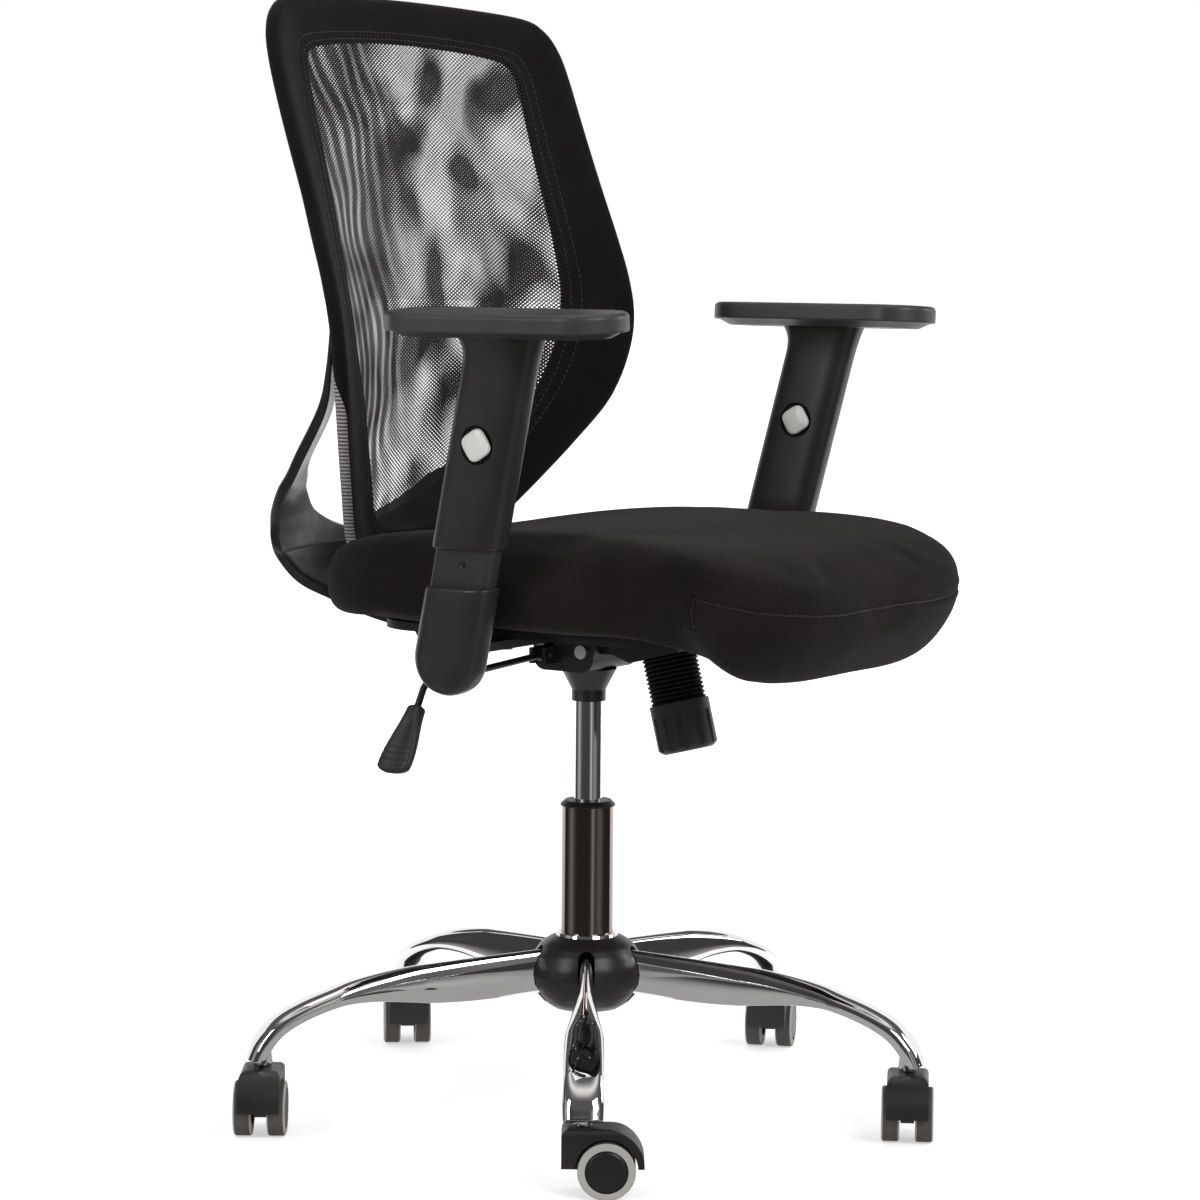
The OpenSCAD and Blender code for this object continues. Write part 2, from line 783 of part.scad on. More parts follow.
// Frame at the end of the bend: x runs down the paddle
module paddle_frame() {
  lever_frame()
    translate([lever_run + lever_bend_r * sin(lever_bend), 0,
               -lever_bend_r * (1 - cos(lever_bend))])
      rotate([0, lever_bend, 0]) children();
}

// Rod's centre line in the lever's frame: x, z and the angle turned below the frame's x axis
function lever_path() = concat(
  [[-lever_inner, 0, 0], [lever_run, 0, 0]],
  [for (i = [1:8]) let (a = lever_bend * i / 8)
    [lever_run + lever_bend_r * sin(a), -lever_bend_r * (1 - cos(a)), a]],
  [let (a = lever_bend)
    [lever_run + lever_bend_r * sin(a) + 2 * lever_tail * cos(a),
     -lever_bend_r * (1 - cos(a)) - 2 * lever_tail * sin(a), a]]);

module lever_rod() {
  sides = 16;
  color([0.2, 0.2, 0.2]) lever_frame() difference() {
    union() {
      rotate([90, 0, 0]) cylinder(r = eye_r, h = eye_w, center = true);
      skin([for (p = lever_path()) [for (j = [0:sides - 1])
        let (q = j * 360 / sides, up = lever_r * cos(q))
        [p[0] + up * sin(p[2]), lever_r * sin(q), p[1] + up * cos(p[2])]]]);
    }
    rotate([90, 0, 0]) cylinder(r = hinge_pin_r + run, h = eye_w + 2, center = true);
  }
}

module lever_paddle() {
  neck_w = 16;
  neck_t = 12;
  end_t = 10;
  corner = 3;
  color([0.13, 0.13, 0.13]) paddle_frame() translate([lever_tail, 0, 0]) difference() {
    hull() {
      for (y = [-1, 1], z = [-1, 1]) {
        translate([corner, y * (neck_w / 2 - corner), z * (neck_t / 2 - corner)])
          sphere(corner, $fn = 16);
        translate([paddle_l - 10, y * (paddle_w / 2 - corner) - paddle_flare,
                   z * (end_t / 2 - corner)])
          sphere(corner, $fn = 16);
        translate([paddle_l - corner, y * (paddle_w / 2 - 8) - paddle_flare,
                   z * (end_t / 2 - corner)])
          sphere(corner, $fn = 16);
      }
    }
    rotate([0, 90, 0]) translate([0, 0, -1]) cylinder(r = lever_r, h = lever_tail + 1);
  }
}

// ---------------------------------------------------------------- seat

module seat_plate() {
  lug_r = 12;
  color([0.15, 0.15, 0.15]) difference() {
    union() {
      translate([0, (plate_rear - plate_front) / 2, plate_z]) linear_extrude(sheet)
        rounded(plate_w, plate_front + plate_rear, 14);
      for (s = [-1, 1]) translate([s * (ear_x - ear_t / 2), 0, 0]) {
        translate([-ear_t / 2, -pin_front - ear_r, pin_z])
          cube([ear_t, 2 * ear_r, plate_z - pin_z + 1]);
        translate([0, -pin_front, pin_z]) rotate([0, 90, 0])
          cylinder(r = ear_r, h = ear_t, center = true);
      }
      bolt_frame() translate([0, 0, bolt_head_z - 1]) cylinder(r = lug_r, h = 30);
    }
    translate([0, -pin_front, pin_z]) rotate([0, 90, 0])
      cylinder(r = pin_r + run, h = pan_w, center = true);
    bolt_frame() {
      cylinder(r = bolt_r, h = 100);
      translate([0, 0, bolt_head_z]) cylinder(r = bolt_r * 1.7, h = bolt_head_t, $fn = 6);
    }
    for (b = plate_bolts) translate([b[0], b[1], plate_z - 1])
      cylinder(r = bolt_m6, h = sheet + 2);
    above(shell_z);
  }
}

module seat_shell() {
  color([0.12, 0.12, 0.12]) difference() {
    translate([0, (shell_rear - shell_front) / 2, shell_z]) linear_extrude(shell_t)
      rounded(shell_w, shell_front + shell_rear, shell_r);
    for (b = concat(plate_bolts, bar_bolts, yoke_bolts)) translate([b[0], b[1], shell_z - 1])
      cylinder(r = bolt_m6, h = bolt_grip + 1);
  }
}

// Hexagon-socket bolts: the head lies under the clamped piece at z
module bolts_under(places, z) {
  for (b = places) translate([b[0], b[1], z - head_t]) {
    difference() {
      cylinder(r = head_r, h = head_t);
      translate([0, 0, -1]) cylinder(r = head_r / 2, h = head_t - 1, $fn = 6);
    }
    cylinder(r = bolt_m6, h = shell_z + bolt_grip - z + head_t);
  }
}

module seat_bolts() {
  color("silver") {
    bolts_under(plate_bolts, plate_z);
    bolts_under(bar_bolts, shell_z - bar_t);
    bolts_under(yoke_bolts, shell_z - yoke_t);
  }
}

// Falls of the cushion's upper face towards the rear and the front, and its dish in the middle
cushion_fall_rear = 21;
cushion_fall_front = 33;
cushion_dish = 7;
// How far the cushion's underside wraps down past the shell's edge
cushion_wrap = 9;
cushion_corner_front = 0.48;
cushion_corner_rear = 0.4;

// Upper and lower faces of the cushion, before its edges are rounded
function cushion_top(x, y) = shell_top + cushion_h
  - cushion_fall_rear * pow(max(y + 70, 0) / 260, 2)
  - cushion_fall_front * pow(max(-y - 130, 0) / 200, 2)
  - cushion_dish * (1 - pow(2 * x / seat_w, 2)) * ease((y + 300) / 160);
function cushion_bottom(x, y) = shell_top + slide_gap - max(
  front_drop * ease((-y - shell_front - 13) / 50),
  cushion_wrap * ease((past_shell(x, y) - 18) / 12) * ease((abs(x) - 125) / 35));

// Distance of a point outside the shell's outline
function past_shell(x, y) = let (
    dx = abs(x) - shell_w / 2 + shell_r,
    dy = abs(y - (shell_rear - shell_front) / 2) - (shell_front + shell_rear) / 2 + shell_r)
  norm([max(dx, 0), max(dy, 0)]) - shell_r;

// Section of the cushion from the middle of its underside round its edge to the middle of its top:
// share of the outline at the sides and the rear, place between the lower face (-1) and the upper
// face (1), share of the outline at the front
cushion_section = [
  [0.3, -1, 0.3], [0.4, -1, 0.4], [0.47, -1, 0.47], [0.53, -1, 0.53], [0.6, -1, 0.6],
  [0.67, -1, 0.67], [0.75, -1, 0.75], [0.84, -1, 0.82], [0.905, -0.985, 0.865],
  [0.965, -0.86, 0.908], [0.99, -0.6, 0.95], [1, -0.2, 0.985], [1, 0.2, 1], [0.988, 0.55, 1],
  [0.957, 0.8, 0.982], [0.89, 0.94, 0.93], [0.76, 1, 0.8], [0.56, 1, 0.6], [0.36, 1, 0.38],
  [0.15, 1, 0.15]];

module seat_cushion() {
  sides = 56;
  mid_y = (seat_rear - seat_front) / 2;
  half_l = (seat_rear + seat_front) / 2;
  color([0.1, 0.09, 0.08]) skin([for (v = cushion_section) [for (j = [0:sides - 1])
    let (
      q = j * 360 / sides,
      corner = q < 180 ? cushion_corner_rear : cushion_corner_front,
      share = v[0] + (v[2] - v[0]) * ease(-2 * sin(q)),
      x = seat_w / 2 * power(cos(q), corner) * share,
      y = mid_y + half_l * power(sin(q), corner) * share,
      top = cushion_top(x, y),
      bottom = cushion_bottom(x, y))
    [x, y, (top + bottom) / 2 + v[1] * (top - bottom) / 2]]]);
}

// Stations of the yoke from its tips down to the seat:
// position, outer edge x, y and z of the rear face, inner edge x, slope at the edge,
// thickness as a share of the band's
yoke_knots = [
  [0, 236, 131.3, 780, 222, 0.6, 0.33],
  [1, 241, 129.3, 752, 214, 0.6, 0.42],
  [2, 240, 134.3, 718, 202, 0.62, 0.6],
  [3, 231, 150, 684, 184, 0.64, 0.9],
  [4, 215, 189, 638, 162, 0.66, 1],
  [5, 206, 207, 618, 136, 0.62, 1],
  [6, 198, 224, 602, 106, 0.6, 1],
  [7, 185, 242, 581, 78, 0.5, 1],
  [8, 175, 251, 565, 42, 0.45, 1],
  [9, 168, 256, 551, 0, 0.42, 1],
  [10, 157, 259, 535, 0, 0.36, 1],
  [11, 143, 252, 515, 0, 0.28, 1],
  [12, 131, 243, 503, 0, 0.2, 1],
  [13, 116, 226, 492, 0, 0.1, 1],
  [14, 102, 192, 476.5, 0, 0.04, 1],
  [15, yoke_base_w / 2, 156, shell_z - yoke_t + 1.5, 0, 0, 1],
  [16, yoke_base_w / 2, shell_rear + 8, shell_z - yoke_t, 0, 0, 1],
  [17, yoke_base_w / 2, shell_rear, shell_z - yoke_t, 0, 0, 1],
  [18, yoke_base_w / 2, yoke_front, shell_z - yoke_t, 0, 0, 1]];
yoke_end = len(yoke_knots) - 1;

function yoke_ring(t) = let (
    x1 = spline(yoke_knots, t, 1), y = spline(yoke_knots, t, 2), z = spline(yoke_knots, t, 3),
    x0 = spline(yoke_knots, t, 4), bow = spline(yoke_knots, t, 5) * x1 / 2,
    a = max(t - 0.1, 0), b = min(t + 0.1, yoke_end),
    dy = spline(yoke_knots, b, 2) - spline(yoke_knots, a, 2),
    dz = spline(yoke_knots, b, 3) - spline(yoke_knots, a, 3),
    front = yoke_t * spline(yoke_knots, t, 6) * [dz, -dy] / norm([dy, dz]),
    across = [for (k = [0:6]) x0 + (x1 - x0) * k / 6])
  concat(
    [for (x = across) [x, y + bow * (1 - pow(x / x1, 2)), z]],
    [for (k = [6:-1:0]) let (x = across[k])
      [x, y + bow * (1 - pow(x / x1, 2)) + front[0], z + front[1]]]);

module yoke() {
  steps = 2.5 * yoke_end;
  color([0.13, 0.13, 0.13]) difference() {
    for (s = [0, 1]) mirror([s, 0, 0])
      skin([for (i = [0:steps]) yoke_ring(i * yoke_end / steps)]);
    for (b = yoke_bolts) translate([b[0], b[1], shell_z - yoke_t - 1])
      cylinder(r = bolt_m6, h = yoke_t + 2);
  }
}

// ---------------------------------------------------------------- back

// Surface of the back: height, half width, y at the rail, depth of the curve
back_knots = [
  [505, 80, 212, 2], [530, 98, 206, 5], [560, 119, 195, 12], [600, 155, 171.5, 26],
  [640, 189, 149, 40], [680, 219, 129, 52], [720, 236, 119, 60], [760, 245, 117, 62],
  [800, 246.5, 124.5, 58], [840, 245, 137.5, 50], [880, 242, 151.5, 42], [920, 240.5, 166, 35],
  [960, 239, 180, 28], [1000, 236.5, 193, 22], [1030, 233, 202, 19], [1070, 230, 213, 17]];

function back_y(x, z) = let (w = spline(back_knots, z, 1) * back_w_scale)
  spline(back_knots, z, 2) + spline(back_knots, z, 3) * (1 - pow(x / w, 2));

// Half of the rail's path, from the middle of the bottom to the middle of the top: x and z
half_path = [
  [0, 513], [45, 514], [76, 520], [96, 536], [119, 560], [155, 600], [189, 640], [219, 680],
  [236, 720], [245, 760], [246.5, 800], [245, 840], [242, 880], [240.5, 920], [239, 960],
  [236.5, 1000], [230.5, 1027], [216, 1046], [188, 1056], [104, 1061], [0, 1063]];
half_n = len(half_path) - 1;
path_n = 2 * half_n;
rail_path = [for (i = [0:path_n - 1]) i <= half_n
  ? [half_path[i][0] * back_w_scale, half_path[i][1]]
  : [-half_path[path_n - i][0] * back_w_scale, half_path[path_n - i][1]]];

// Point of the closed path at t, by a cubic through four neighbours
function path_at(t) = let (
    i = floor(t), u = t - i,
    p = [for (k = [-1:2]) rail_path[(i + k + path_n) % path_n]])
  0.5 * (2 * p[1] + (p[2] - p[0]) * u + (2*p[0] - 5*p[1] + 4*p[2] - p[3]) * u*u
         + (3*p[1] - p[0] - 3*p[2] + p[3]) * u*u*u);
function rail_at(t) = let (p = path_at(t)) [p[0], back_y(p[0], p[1]), p[1]];
function unit(v) = v / norm(v);

module back_frame() {
  sides = 10;
  color([0.1, 0.1, 0.1]) loop_skin([for (i = [0:2 * path_n - 1]) let (
      t = i / 2,
      c = rail_at(t),
      ahead = unit(rail_at(t + 0.1) - rail_at(t + path_n - 0.1)),
      out = unit(cross([0, 1, 0], ahead)),
      rear = cross(ahead, out))
    [for (j = [0:sides - 1]) let (q = j * 360 / sides)
      c + rail_d / 2 * cos(q) * out + (rail_deep * (sin(q) + 1) - rail_d) / 2 * rear]]);
}

module back_cover() {
  mid_z = 800;
  shares = [0.12, 0.4, 0.68, 0.88, 1];
  inset = rail_d / 2 + slide_gap;
  edge = [for (i = [0:path_n - 1]) let (
      ahead = unit(path_at(i + 0.1) - path_at(i + path_n - 0.1)))
    path_at(i) - inset * [ahead[1], -ahead[0]]];
  function layer(share, side) = [for (p = edge) let (x = p[0] * share,
      z = mid_z + (p[1] - mid_z) * share)
    [x, back_y(x, z) + side * cover_t / 2, z]];
  color([0.2, 0.2, 0.2]) skin(concat(
    [for (s = shares) layer(s, -1)],
    [for (k = [len(shares) - 1:-1:0]) layer(shares[k], 1)]));
}

// ---------------------------------------------------------------- arms

// Steel bar that carries one arm under the shell
module bar(side) {
  translate([side * (bar_x0 + bar_x1) / 2, bar_y, shell_z - bar_t / 2])
    cube([bar_x1 - bar_x0, bar_w, bar_t], center = true);
}

module arm_bars() {
  color([0.2, 0.2, 0.2]) for (s = [-1, 1]) difference() {
    bar(s);
    for (b = bar_bolts) translate([b[0], b[1], shell_z - bar_t - 1])
      cylinder(r = bolt_m6, h = bar_t + 2);
  }
}

// Solid of the post's section, grown by a clearance
module post_shape(grow, lo, hi) {
  translate([0, 0, lo]) linear_extrude(hi - lo)
    rounded(post_t + 2 * grow, post_d + 2 * grow, post_r + grow);
}

// Post up to hi, its foot cut level on the steel bar
module post_core(side, hi) {
  difference() {
    arm_frame(side) post_shape(0, post_lo, hi);
    below(shell_z);
  }
}

module arm_boot(side) {
  low = boot_centre - boot_d / 2;
  color([0.12, 0.12, 0.12]) difference() {
    arm_frame(side) intersection() {
      upright(boot_t) {
        translate([0, boot_centre]) circle(boot_d / 2);
        translate([-boot_d / 2, boot_centre]) square([boot_d, boot_hi - boot_centre]);
      }
      translate([0, 0, low]) linear_extrude(far) rounded(boot_t, boot_d, boot_r);
      rotate([90, 0, 0]) linear_extrude(boot_d, center = true)
        translate([0, low + far / 2]) rounded(boot_t, far, boot_r);
    }
    post_core(side, boot_hi + 1);
    above(boot_rim);
    bar(side);
  }
}

module arm_post(side) {
  color([0.2, 0.2, 0.2]) difference() {
    post_core(side, post_hi);
    arm_frame(side) translate([-post_t / 2 - 1, -groove_w / 2, groove_lo])
      cube([groove_d + 1, groove_w, post_hi - groove_lo + 1]);
  }
}

module pad_frame(side) {
  translate([side * pad_x, pad_y, pad_top]) rotate([0, side * arm_splay, 0]) children();
}

module arm_sleeve(side) {
  color([0.13, 0.13, 0.13]) difference() {
    arm_frame(side) difference() {
      union() {
        translate([0, 0, sleeve_lo]) linear_extrude(130 - sleeve_lo)
          rounded(sleeve_t, sleeve_d, sleeve_r);
        hull() {
          translate([0, 0, flare_lo]) linear_extrude(1)
            rounded(sleeve_t, sleeve_d, sleeve_r, $fn = hull_fn);
          translate([0, flare_rear, flare_hi]) linear_extrude(20)
            rounded(sleeve_t + flare_w, sleeve_d + 2 * flare_w, sleeve_r + 4, $fn = hull_fn);
        }
      }
      post_shape(slide_gap, sleeve_lo - 1, channel_hi);
      rotate([0, -90, 0]) translate([0, 0, recess_floor]) cylinder(r = recess_r, h = 20);
      rotate([0, -90, 0]) cylinder(r = button_stem_r + run, h = 20);
    }
    pad_frame(side) above(-pad_t);
    below(sleeve_rim);
  }
}

// Half section of the pad: its width to the right, its top at zero
module pad_half() {
  r = pad_w / 2;
  rim = 16.5;
  polygon(concat(
    [[0, -pad_t], [r - 16, -pad_t], [r - 5, -rim - 1]],
    arc([r - 2, -rim + 1], 2, 270, 360),
    arc([r - pad_edge, -pad_edge - 0.6], pad_edge, 0, 78),
    [[0, 0]]));
}

module arm_pad(side) {
  half = (pad_l - pad_w) / 2;
  color([0.16, 0.16, 0.16]) pad_frame(side) {
    for (s = [0, 1]) rotate(180 * s) translate([0, half, 0])
      rotate_extrude(angle = 180) pad_half();
    rotate([90, 0, 0]) linear_extrude(2 * half, center = true) {
      pad_half();
      mirror([1, 0]) pad_half();
    }
  }
}

module arm_button(side) {
  head_in = recess_floor + button_travel + 0.2;
  face = sleeve_t / 2 + button_proud;
  flat = button_d * 0.81;
  stem_in = post_t / 2 + slide_gap;
  color("silver") arm_frame(side) rotate([0, -90, 0]) {
    intersection() {
      translate([0, 0, head_in]) cylinder(d = button_d, h = face - head_in);
      rotate(45) translate([0, 0, face / 2]) cube([flat, flat, 2 * face], center = true);
    }
    translate([0, 0, stem_in]) cylinder(r = button_stem_r, h = head_in - stem_in);
  }
}

// ---------------------------------------------------------------- pieces

star_base();
hub_cover();
column_tube();
column_bush();
caster_stems();
piston_rod();
gas_cylinder();
mechanism_pan();
taper_socket();
mechanism_pins();
tension_spring();
tension_bellows();
spring_washer();
tension_knob();
tension_bolt();
lever_rod();
lever_paddle();
seat_plate();
seat_shell();
seat_cushion();
seat_bolts();
yoke();
back_frame();
back_cover();
arm_bars();
arm_boot(-1);  // right_arm_boot
arm_post(-1);  // right_arm_post
arm_sleeve(-1);  // right_arm_sleeve
arm_pad(-1);  // right_arm_pad
arm_button(-1);  // right_arm_button
arm_boot(1);  // left_arm_boot
arm_post(1);  // left_arm_post
arm_sleeve(1);  // left_arm_sleeve
arm_pad(1);  // left_arm_pad
arm_button(1);  // left_arm_button
for (i = [1:legs]) {
  caster_housing(i - 1);
  caster_wheel(i - 1, 1);
  caster_tread(i - 1, 1);
  caster_wheel(i - 1, -1);
  caster_tread(i - 1, -1);
}
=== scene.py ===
import json
from contextlib import contextmanager
from math import inf, copysign, cos, exp, floor, hypot, pi, radians, sin, sqrt

import bmesh
import bpy
import numpy as np
from mathutils import Matrix, Quaternion, Vector
from mathutils.bvhtree import BVHTree
from mathutils.kdtree import KDTree


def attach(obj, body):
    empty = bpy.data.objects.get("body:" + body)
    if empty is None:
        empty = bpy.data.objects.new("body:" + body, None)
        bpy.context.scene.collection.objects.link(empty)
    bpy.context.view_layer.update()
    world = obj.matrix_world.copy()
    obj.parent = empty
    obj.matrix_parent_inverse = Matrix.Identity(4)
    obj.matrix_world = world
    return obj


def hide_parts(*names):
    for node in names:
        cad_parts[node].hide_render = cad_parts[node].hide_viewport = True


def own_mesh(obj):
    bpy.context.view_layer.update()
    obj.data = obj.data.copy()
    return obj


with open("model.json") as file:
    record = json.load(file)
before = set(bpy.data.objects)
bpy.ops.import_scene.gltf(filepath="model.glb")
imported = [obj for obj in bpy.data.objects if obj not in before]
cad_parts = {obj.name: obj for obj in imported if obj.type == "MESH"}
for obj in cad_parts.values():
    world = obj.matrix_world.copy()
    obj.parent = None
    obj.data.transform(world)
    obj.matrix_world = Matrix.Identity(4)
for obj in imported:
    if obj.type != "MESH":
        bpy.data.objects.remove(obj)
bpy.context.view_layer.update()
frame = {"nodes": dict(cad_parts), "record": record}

nodes = frame["nodes"]
MM = 0.001
up = Vector((0, 0, 1))


# ---- curves and meshes

def spline(knots, t, c):
    """Cubic through knots [position, value...], the same one that the CAD source uses."""
    i = max([k for k in range(len(knots) - 1) if t >= knots[k][0]] or [0])
    w = knots[i + 1][0] - knots[i][0]
    u = min(max((t - knots[i][0]) / w, 0), 1)

    def slope(k):
        a, b = max(k - 1, 0), min(k + 1, len(knots) - 1)
        return (knots[b][c] - knots[a][c]) / (knots[b][0] - knots[a][0]) * w

    return ((2*u**3 - 3*u*u + 1) * knots[i][c] + (u**3 - 2*u*u + u) * slope(i)
            + (3*u*u - 2*u**3) * knots[i + 1][c] + (u**3 - u*u) * slope(i + 1))


def ease(t):
    u = np.clip(t, 0, 1)
    return u * u * (3 - 2 * u)


def power(v, e):
    return copysign(abs(v) ** e, v)


def circle(n):
    """Cosine and sine at n equal steps round a circle."""
    return [(cos(2 * pi * j / n), sin(2 * pi * j / n)) for j in range(n)]


def word_of(side):
    return "left" if side > 0 else "right"


@contextmanager
def edited(mesh):
    """A mesh as a bmesh, written back at the end."""
    bm = bmesh.new()
    bm.from_mesh(mesh)
    yield bm
    bm.to_mesh(mesh)
    bm.free()


def add_object(name, data):
    obj = bpy.data.objects.new(name, data)
    bpy.context.scene.collection.objects.link(obj)
    return obj


def add_piece(name, mesh, body, slot=None, look=None, sharp=None, node=None):
    """A mesh as a piece that rides on a body; its look is the slot's, unless another is given."""
    mesh.polygons.foreach_set("use_smooth", [True] * len(mesh.polygons))
    obj = add_object(name, mesh)
    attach(obj, body)
    if slot:
        mesh.materials.append(look or M[slot])
    if sharp:
        sharpen(obj, sharp)
    if node:
        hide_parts(node)
    return obj


def make(name, shape, *place, **rest):
    """A piece from vertices and faces, with outward normals."""
    verts, faces = shape
    mesh = bpy.data.meshes.new(name)
    mesh.from_pydata([tuple(float(c) for c in v) for v in verts], [], [tuple(f) for f in faces])
    mesh.validate()
    with edited(mesh) as bm:
        bmesh.ops.recalc_face_normals(bm, faces=bm.faces)
    return add_piece(name, mesh, *place, **rest)


def loft(rings, closed=False, caps=True, around=True):
    """Vertices and faces through rings of points; around closes each ring, closed joins the ends."""
    n, m = len(rings[0]), len(rings)
    verts = [p for r in rings for p in r]
    faces = []
    for i in range(m if closed else m - 1):
        k = (i + 1) % m
        for j in range(n if around else n - 1):
            l = (j + 1) % n
            faces.append((i * n + j, i * n + l, k * n + l, k * n + j))
    if caps and not closed:
        faces += [tuple(range(n))[::-1], tuple((m - 1) * n + j for j in range(n))]
    return verts, faces


def lathe(profile, place, turns):
    """Rings of a profile [radius, height] turned about an axis; place maps (x, y, z) to the frame."""
    return [[place(r * c, r * s, z) for c, s in circle(turns)] for r, z in profile]


def placed(matrix, order=(0, 1, 2)):
    """Placing function of a lathe: its x, y and z, in the given order, in a matrix's frame."""
    return lambda *point: tuple(c * MM for c in matrix @ Vector([point[k] for k in order]))


def join_parts(parts):
    verts, faces = [], []
    for v, f in parts:
        base = len(verts)
        verts += v
        faces += [tuple(base + k for k in q) for q in f]
    return verts, faces


def even_steps(points, step):
    """Points at equal steps along a polyline."""
    out, left = [points[0]], step
    for a, b in zip(points, points[1:]):
        span = (b - a).length
        while span > 0 and left <= span:
            a = a.lerp(b, left / span)
            span = (b - a).length
            out.append(a)
            left = step
        left -= span
    return out


def cord(line, radius, sides=8, sink=0.0):
    """Round cord along (point, normal) pairs, sunk into the surface, as vertices and faces."""
    rings = []
    for k, (p, normal) in enumerate(line):
        ahead = (line[min(k + 1, len(line) - 1)][0] - line[max(k - 1, 0)][0]).normalized()
        side = ahead.cross(normal).normalized()
        above = side.cross(ahead)
        rings.append([p + side * (radius * c) + above * (radius * s - sink)
                      for c, s in circle(sides)])
    return loft(rings)


def sharpen(obj, degrees):
    """Marks edges sharper than an angle, so that smooth shading keeps them crisp."""
    with edited(obj.data) as bm:
        for e in bm.edges:
            if len(e.link_faces) == 2 and e.calc_face_angle(0) > radians(degrees):
                e.smooth = False


def apply_modifiers(obj):
    """Bakes an object's modifiers into its mesh."""
    deps = bpy.context.evaluated_depsgraph_get()
    mesh = bpy.data.meshes.new_from_object(obj.evaluated_get(deps))
    old = obj.data
    obj.modifiers.clear()
    obj.data = mesh
    bpy.data.meshes.remove(old)


def copy_node(name, new_name, body, slot, sharp):
    """A welded copy of a CAD node's mesh as a piece of its own."""
    bm = bmesh.new()
    bm.from_mesh(nodes[name].data)
    bmesh.ops.remove_doubles(bm, verts=bm.verts, dist=2e-6)
    mesh = bpy.data.meshes.new(new_name)
    bm.to_mesh(mesh)
    bm.free()
    mesh.materials.clear()
    return add_piece(new_name, mesh, body, slot, sharp=sharp, node=name)


# ---- materials

class Nodes:
    """Short ways to add nodes to a tree."""

    def __init__(self, tree):
        self.tree = tree

    def add(self, kind, **values):
        node = self.tree.nodes.new(kind)
        for k, v in values.items():
            setattr(node, k, v)
        return node

    def link(self, a, b):
        self.tree.links.new(a, b)

    def math(self, op, a, b=None, kind="ShaderNodeMath", output=0):
        node = self.add(kind, operation=op)
        for k, v in enumerate((a, b)):
            if isinstance(v, bpy.types.NodeSocket):
                self.link(v, node.inputs[k])
            elif v is not None:
                node.inputs[k].default_value = v
        return node.outputs[output]

    def vector(self, op, a, b=None, output="Vector"):
        return self.math(op, a, b, "ShaderNodeVectorMath", output)

    def spread(self, fac, low, high, start=0.3, end=0.7):
        node = self.add("ShaderNodeMapRange")
        self.link(fac, node.inputs["Value"])
        for k, v in (("From Min", start), ("From Max", end), ("To Min", low), ("To Max", high)):
            node.inputs[k].default_value = v
        return node.outputs["Result"]

    def mix(self, fac, a, b):
        node = self.add("ShaderNodeMix", data_type="RGBA")
        self.link(fac, node.inputs[0])
        for k, v in ((6, a), (7, b)):
            if isinstance(v, tuple):
                node.inputs[k].default_value = (*v, 1)
            else:
                self.link(v, node.inputs[k])
        return node.outputs[2]

    def mirror_rays(self):
        """1 for the rays that show the background: from the camera, reflected and transmitted."""
        path = self.add("ShaderNodeLightPath").outputs
        seen = self.math("MAXIMUM", path["Is Camera Ray"], path["Is Glossy Ray"])
        return self.math("MAXIMUM", seen, path["Is Transmission Ray"])


class Shade(Nodes):
    """A node material with one Principled shader and short ways to its inputs."""

    def __init__(self, name, color, rough, metal=0.0, specular=0.5, sheen=0.0):
        self.mat = bpy.data.materials.new(name)
        self.mat.use_nodes = True
        super().__init__(self.mat.node_tree)
        self.bsdf = self.tree.nodes["Principled BSDF"]
        for socket, value in (("Base Color", (*color, 1)), ("Roughness", rough), ("Metallic", metal),
                              ("Specular IOR Level", specular), ("Sheen Weight", sheen),
                              ("Sheen Roughness", 0.5)):
            self.bsdf.inputs[socket].default_value = value
        self.coord = self.add("ShaderNodeTexCoord").outputs["Object"]
        self.height = None

    def wave(self, direction, pitch, shift=0.0):
        """sin of the place along a direction, one turn per pitch."""
        length = sqrt(sum(c * c for c in direction))
        turns = [c / length * 2 * pi / pitch for c in direction]
        along = self.vector("DOT_PRODUCT", self.coord, turns, "Value")
        return self.math("SINE", self.math("ADD", along, shift))

    def drift(self, scale, reach, detail, stretch=(1, 1, 1)):
        """Moves the coordinates by noise, so that straight patterns wander."""
        centred = self.vector("SUBTRACT", self.noise(scale, detail, stretch, "Color"), (0.5,) * 3)
        self.coord = self.vector("ADD", self.coord, self.vector("MULTIPLY", centred, (reach,) * 3))

    def noise(self, scale, detail=3.0, stretch=(1, 1, 1), output="Fac"):
        source = self.coord
        if stretch != (1, 1, 1):
            mapping = self.add("ShaderNodeMapping")
            mapping.inputs["Scale"].default_value = stretch
            self.link(self.coord, mapping.inputs["Vector"])
            source = mapping.outputs[0]
        node = self.add("ShaderNodeTexNoise")
        node.inputs["Scale"].default_value = scale
        node.inputs["Detail"].default_value = detail
        self.link(source, node.inputs["Vector"])
        return node.outputs[output]

    def tint(self, fac, a, b):
        self.link(self.mix(fac, a, b), self.bsdf.inputs["Base Color"])

    def rough(self, fac, low, high):
        self.link(self.spread(fac, low, high), self.bsdf.inputs["Roughness"])

    def bump(self, height, strength, distance):
        node = self.add("ShaderNodeBump")
        node.inputs["Strength"].default_value = strength
        node.inputs["Distance"].default_value = distance
        self.link(height, node.inputs["Height"])
        if self.height is not None:
            self.link(self.height, node.inputs["Normal"])
        self.height = node.outputs[0]
        self.link(self.height, self.bsdf.inputs["Normal"])


def dim(color, share):
    return tuple(c * share for c in color)


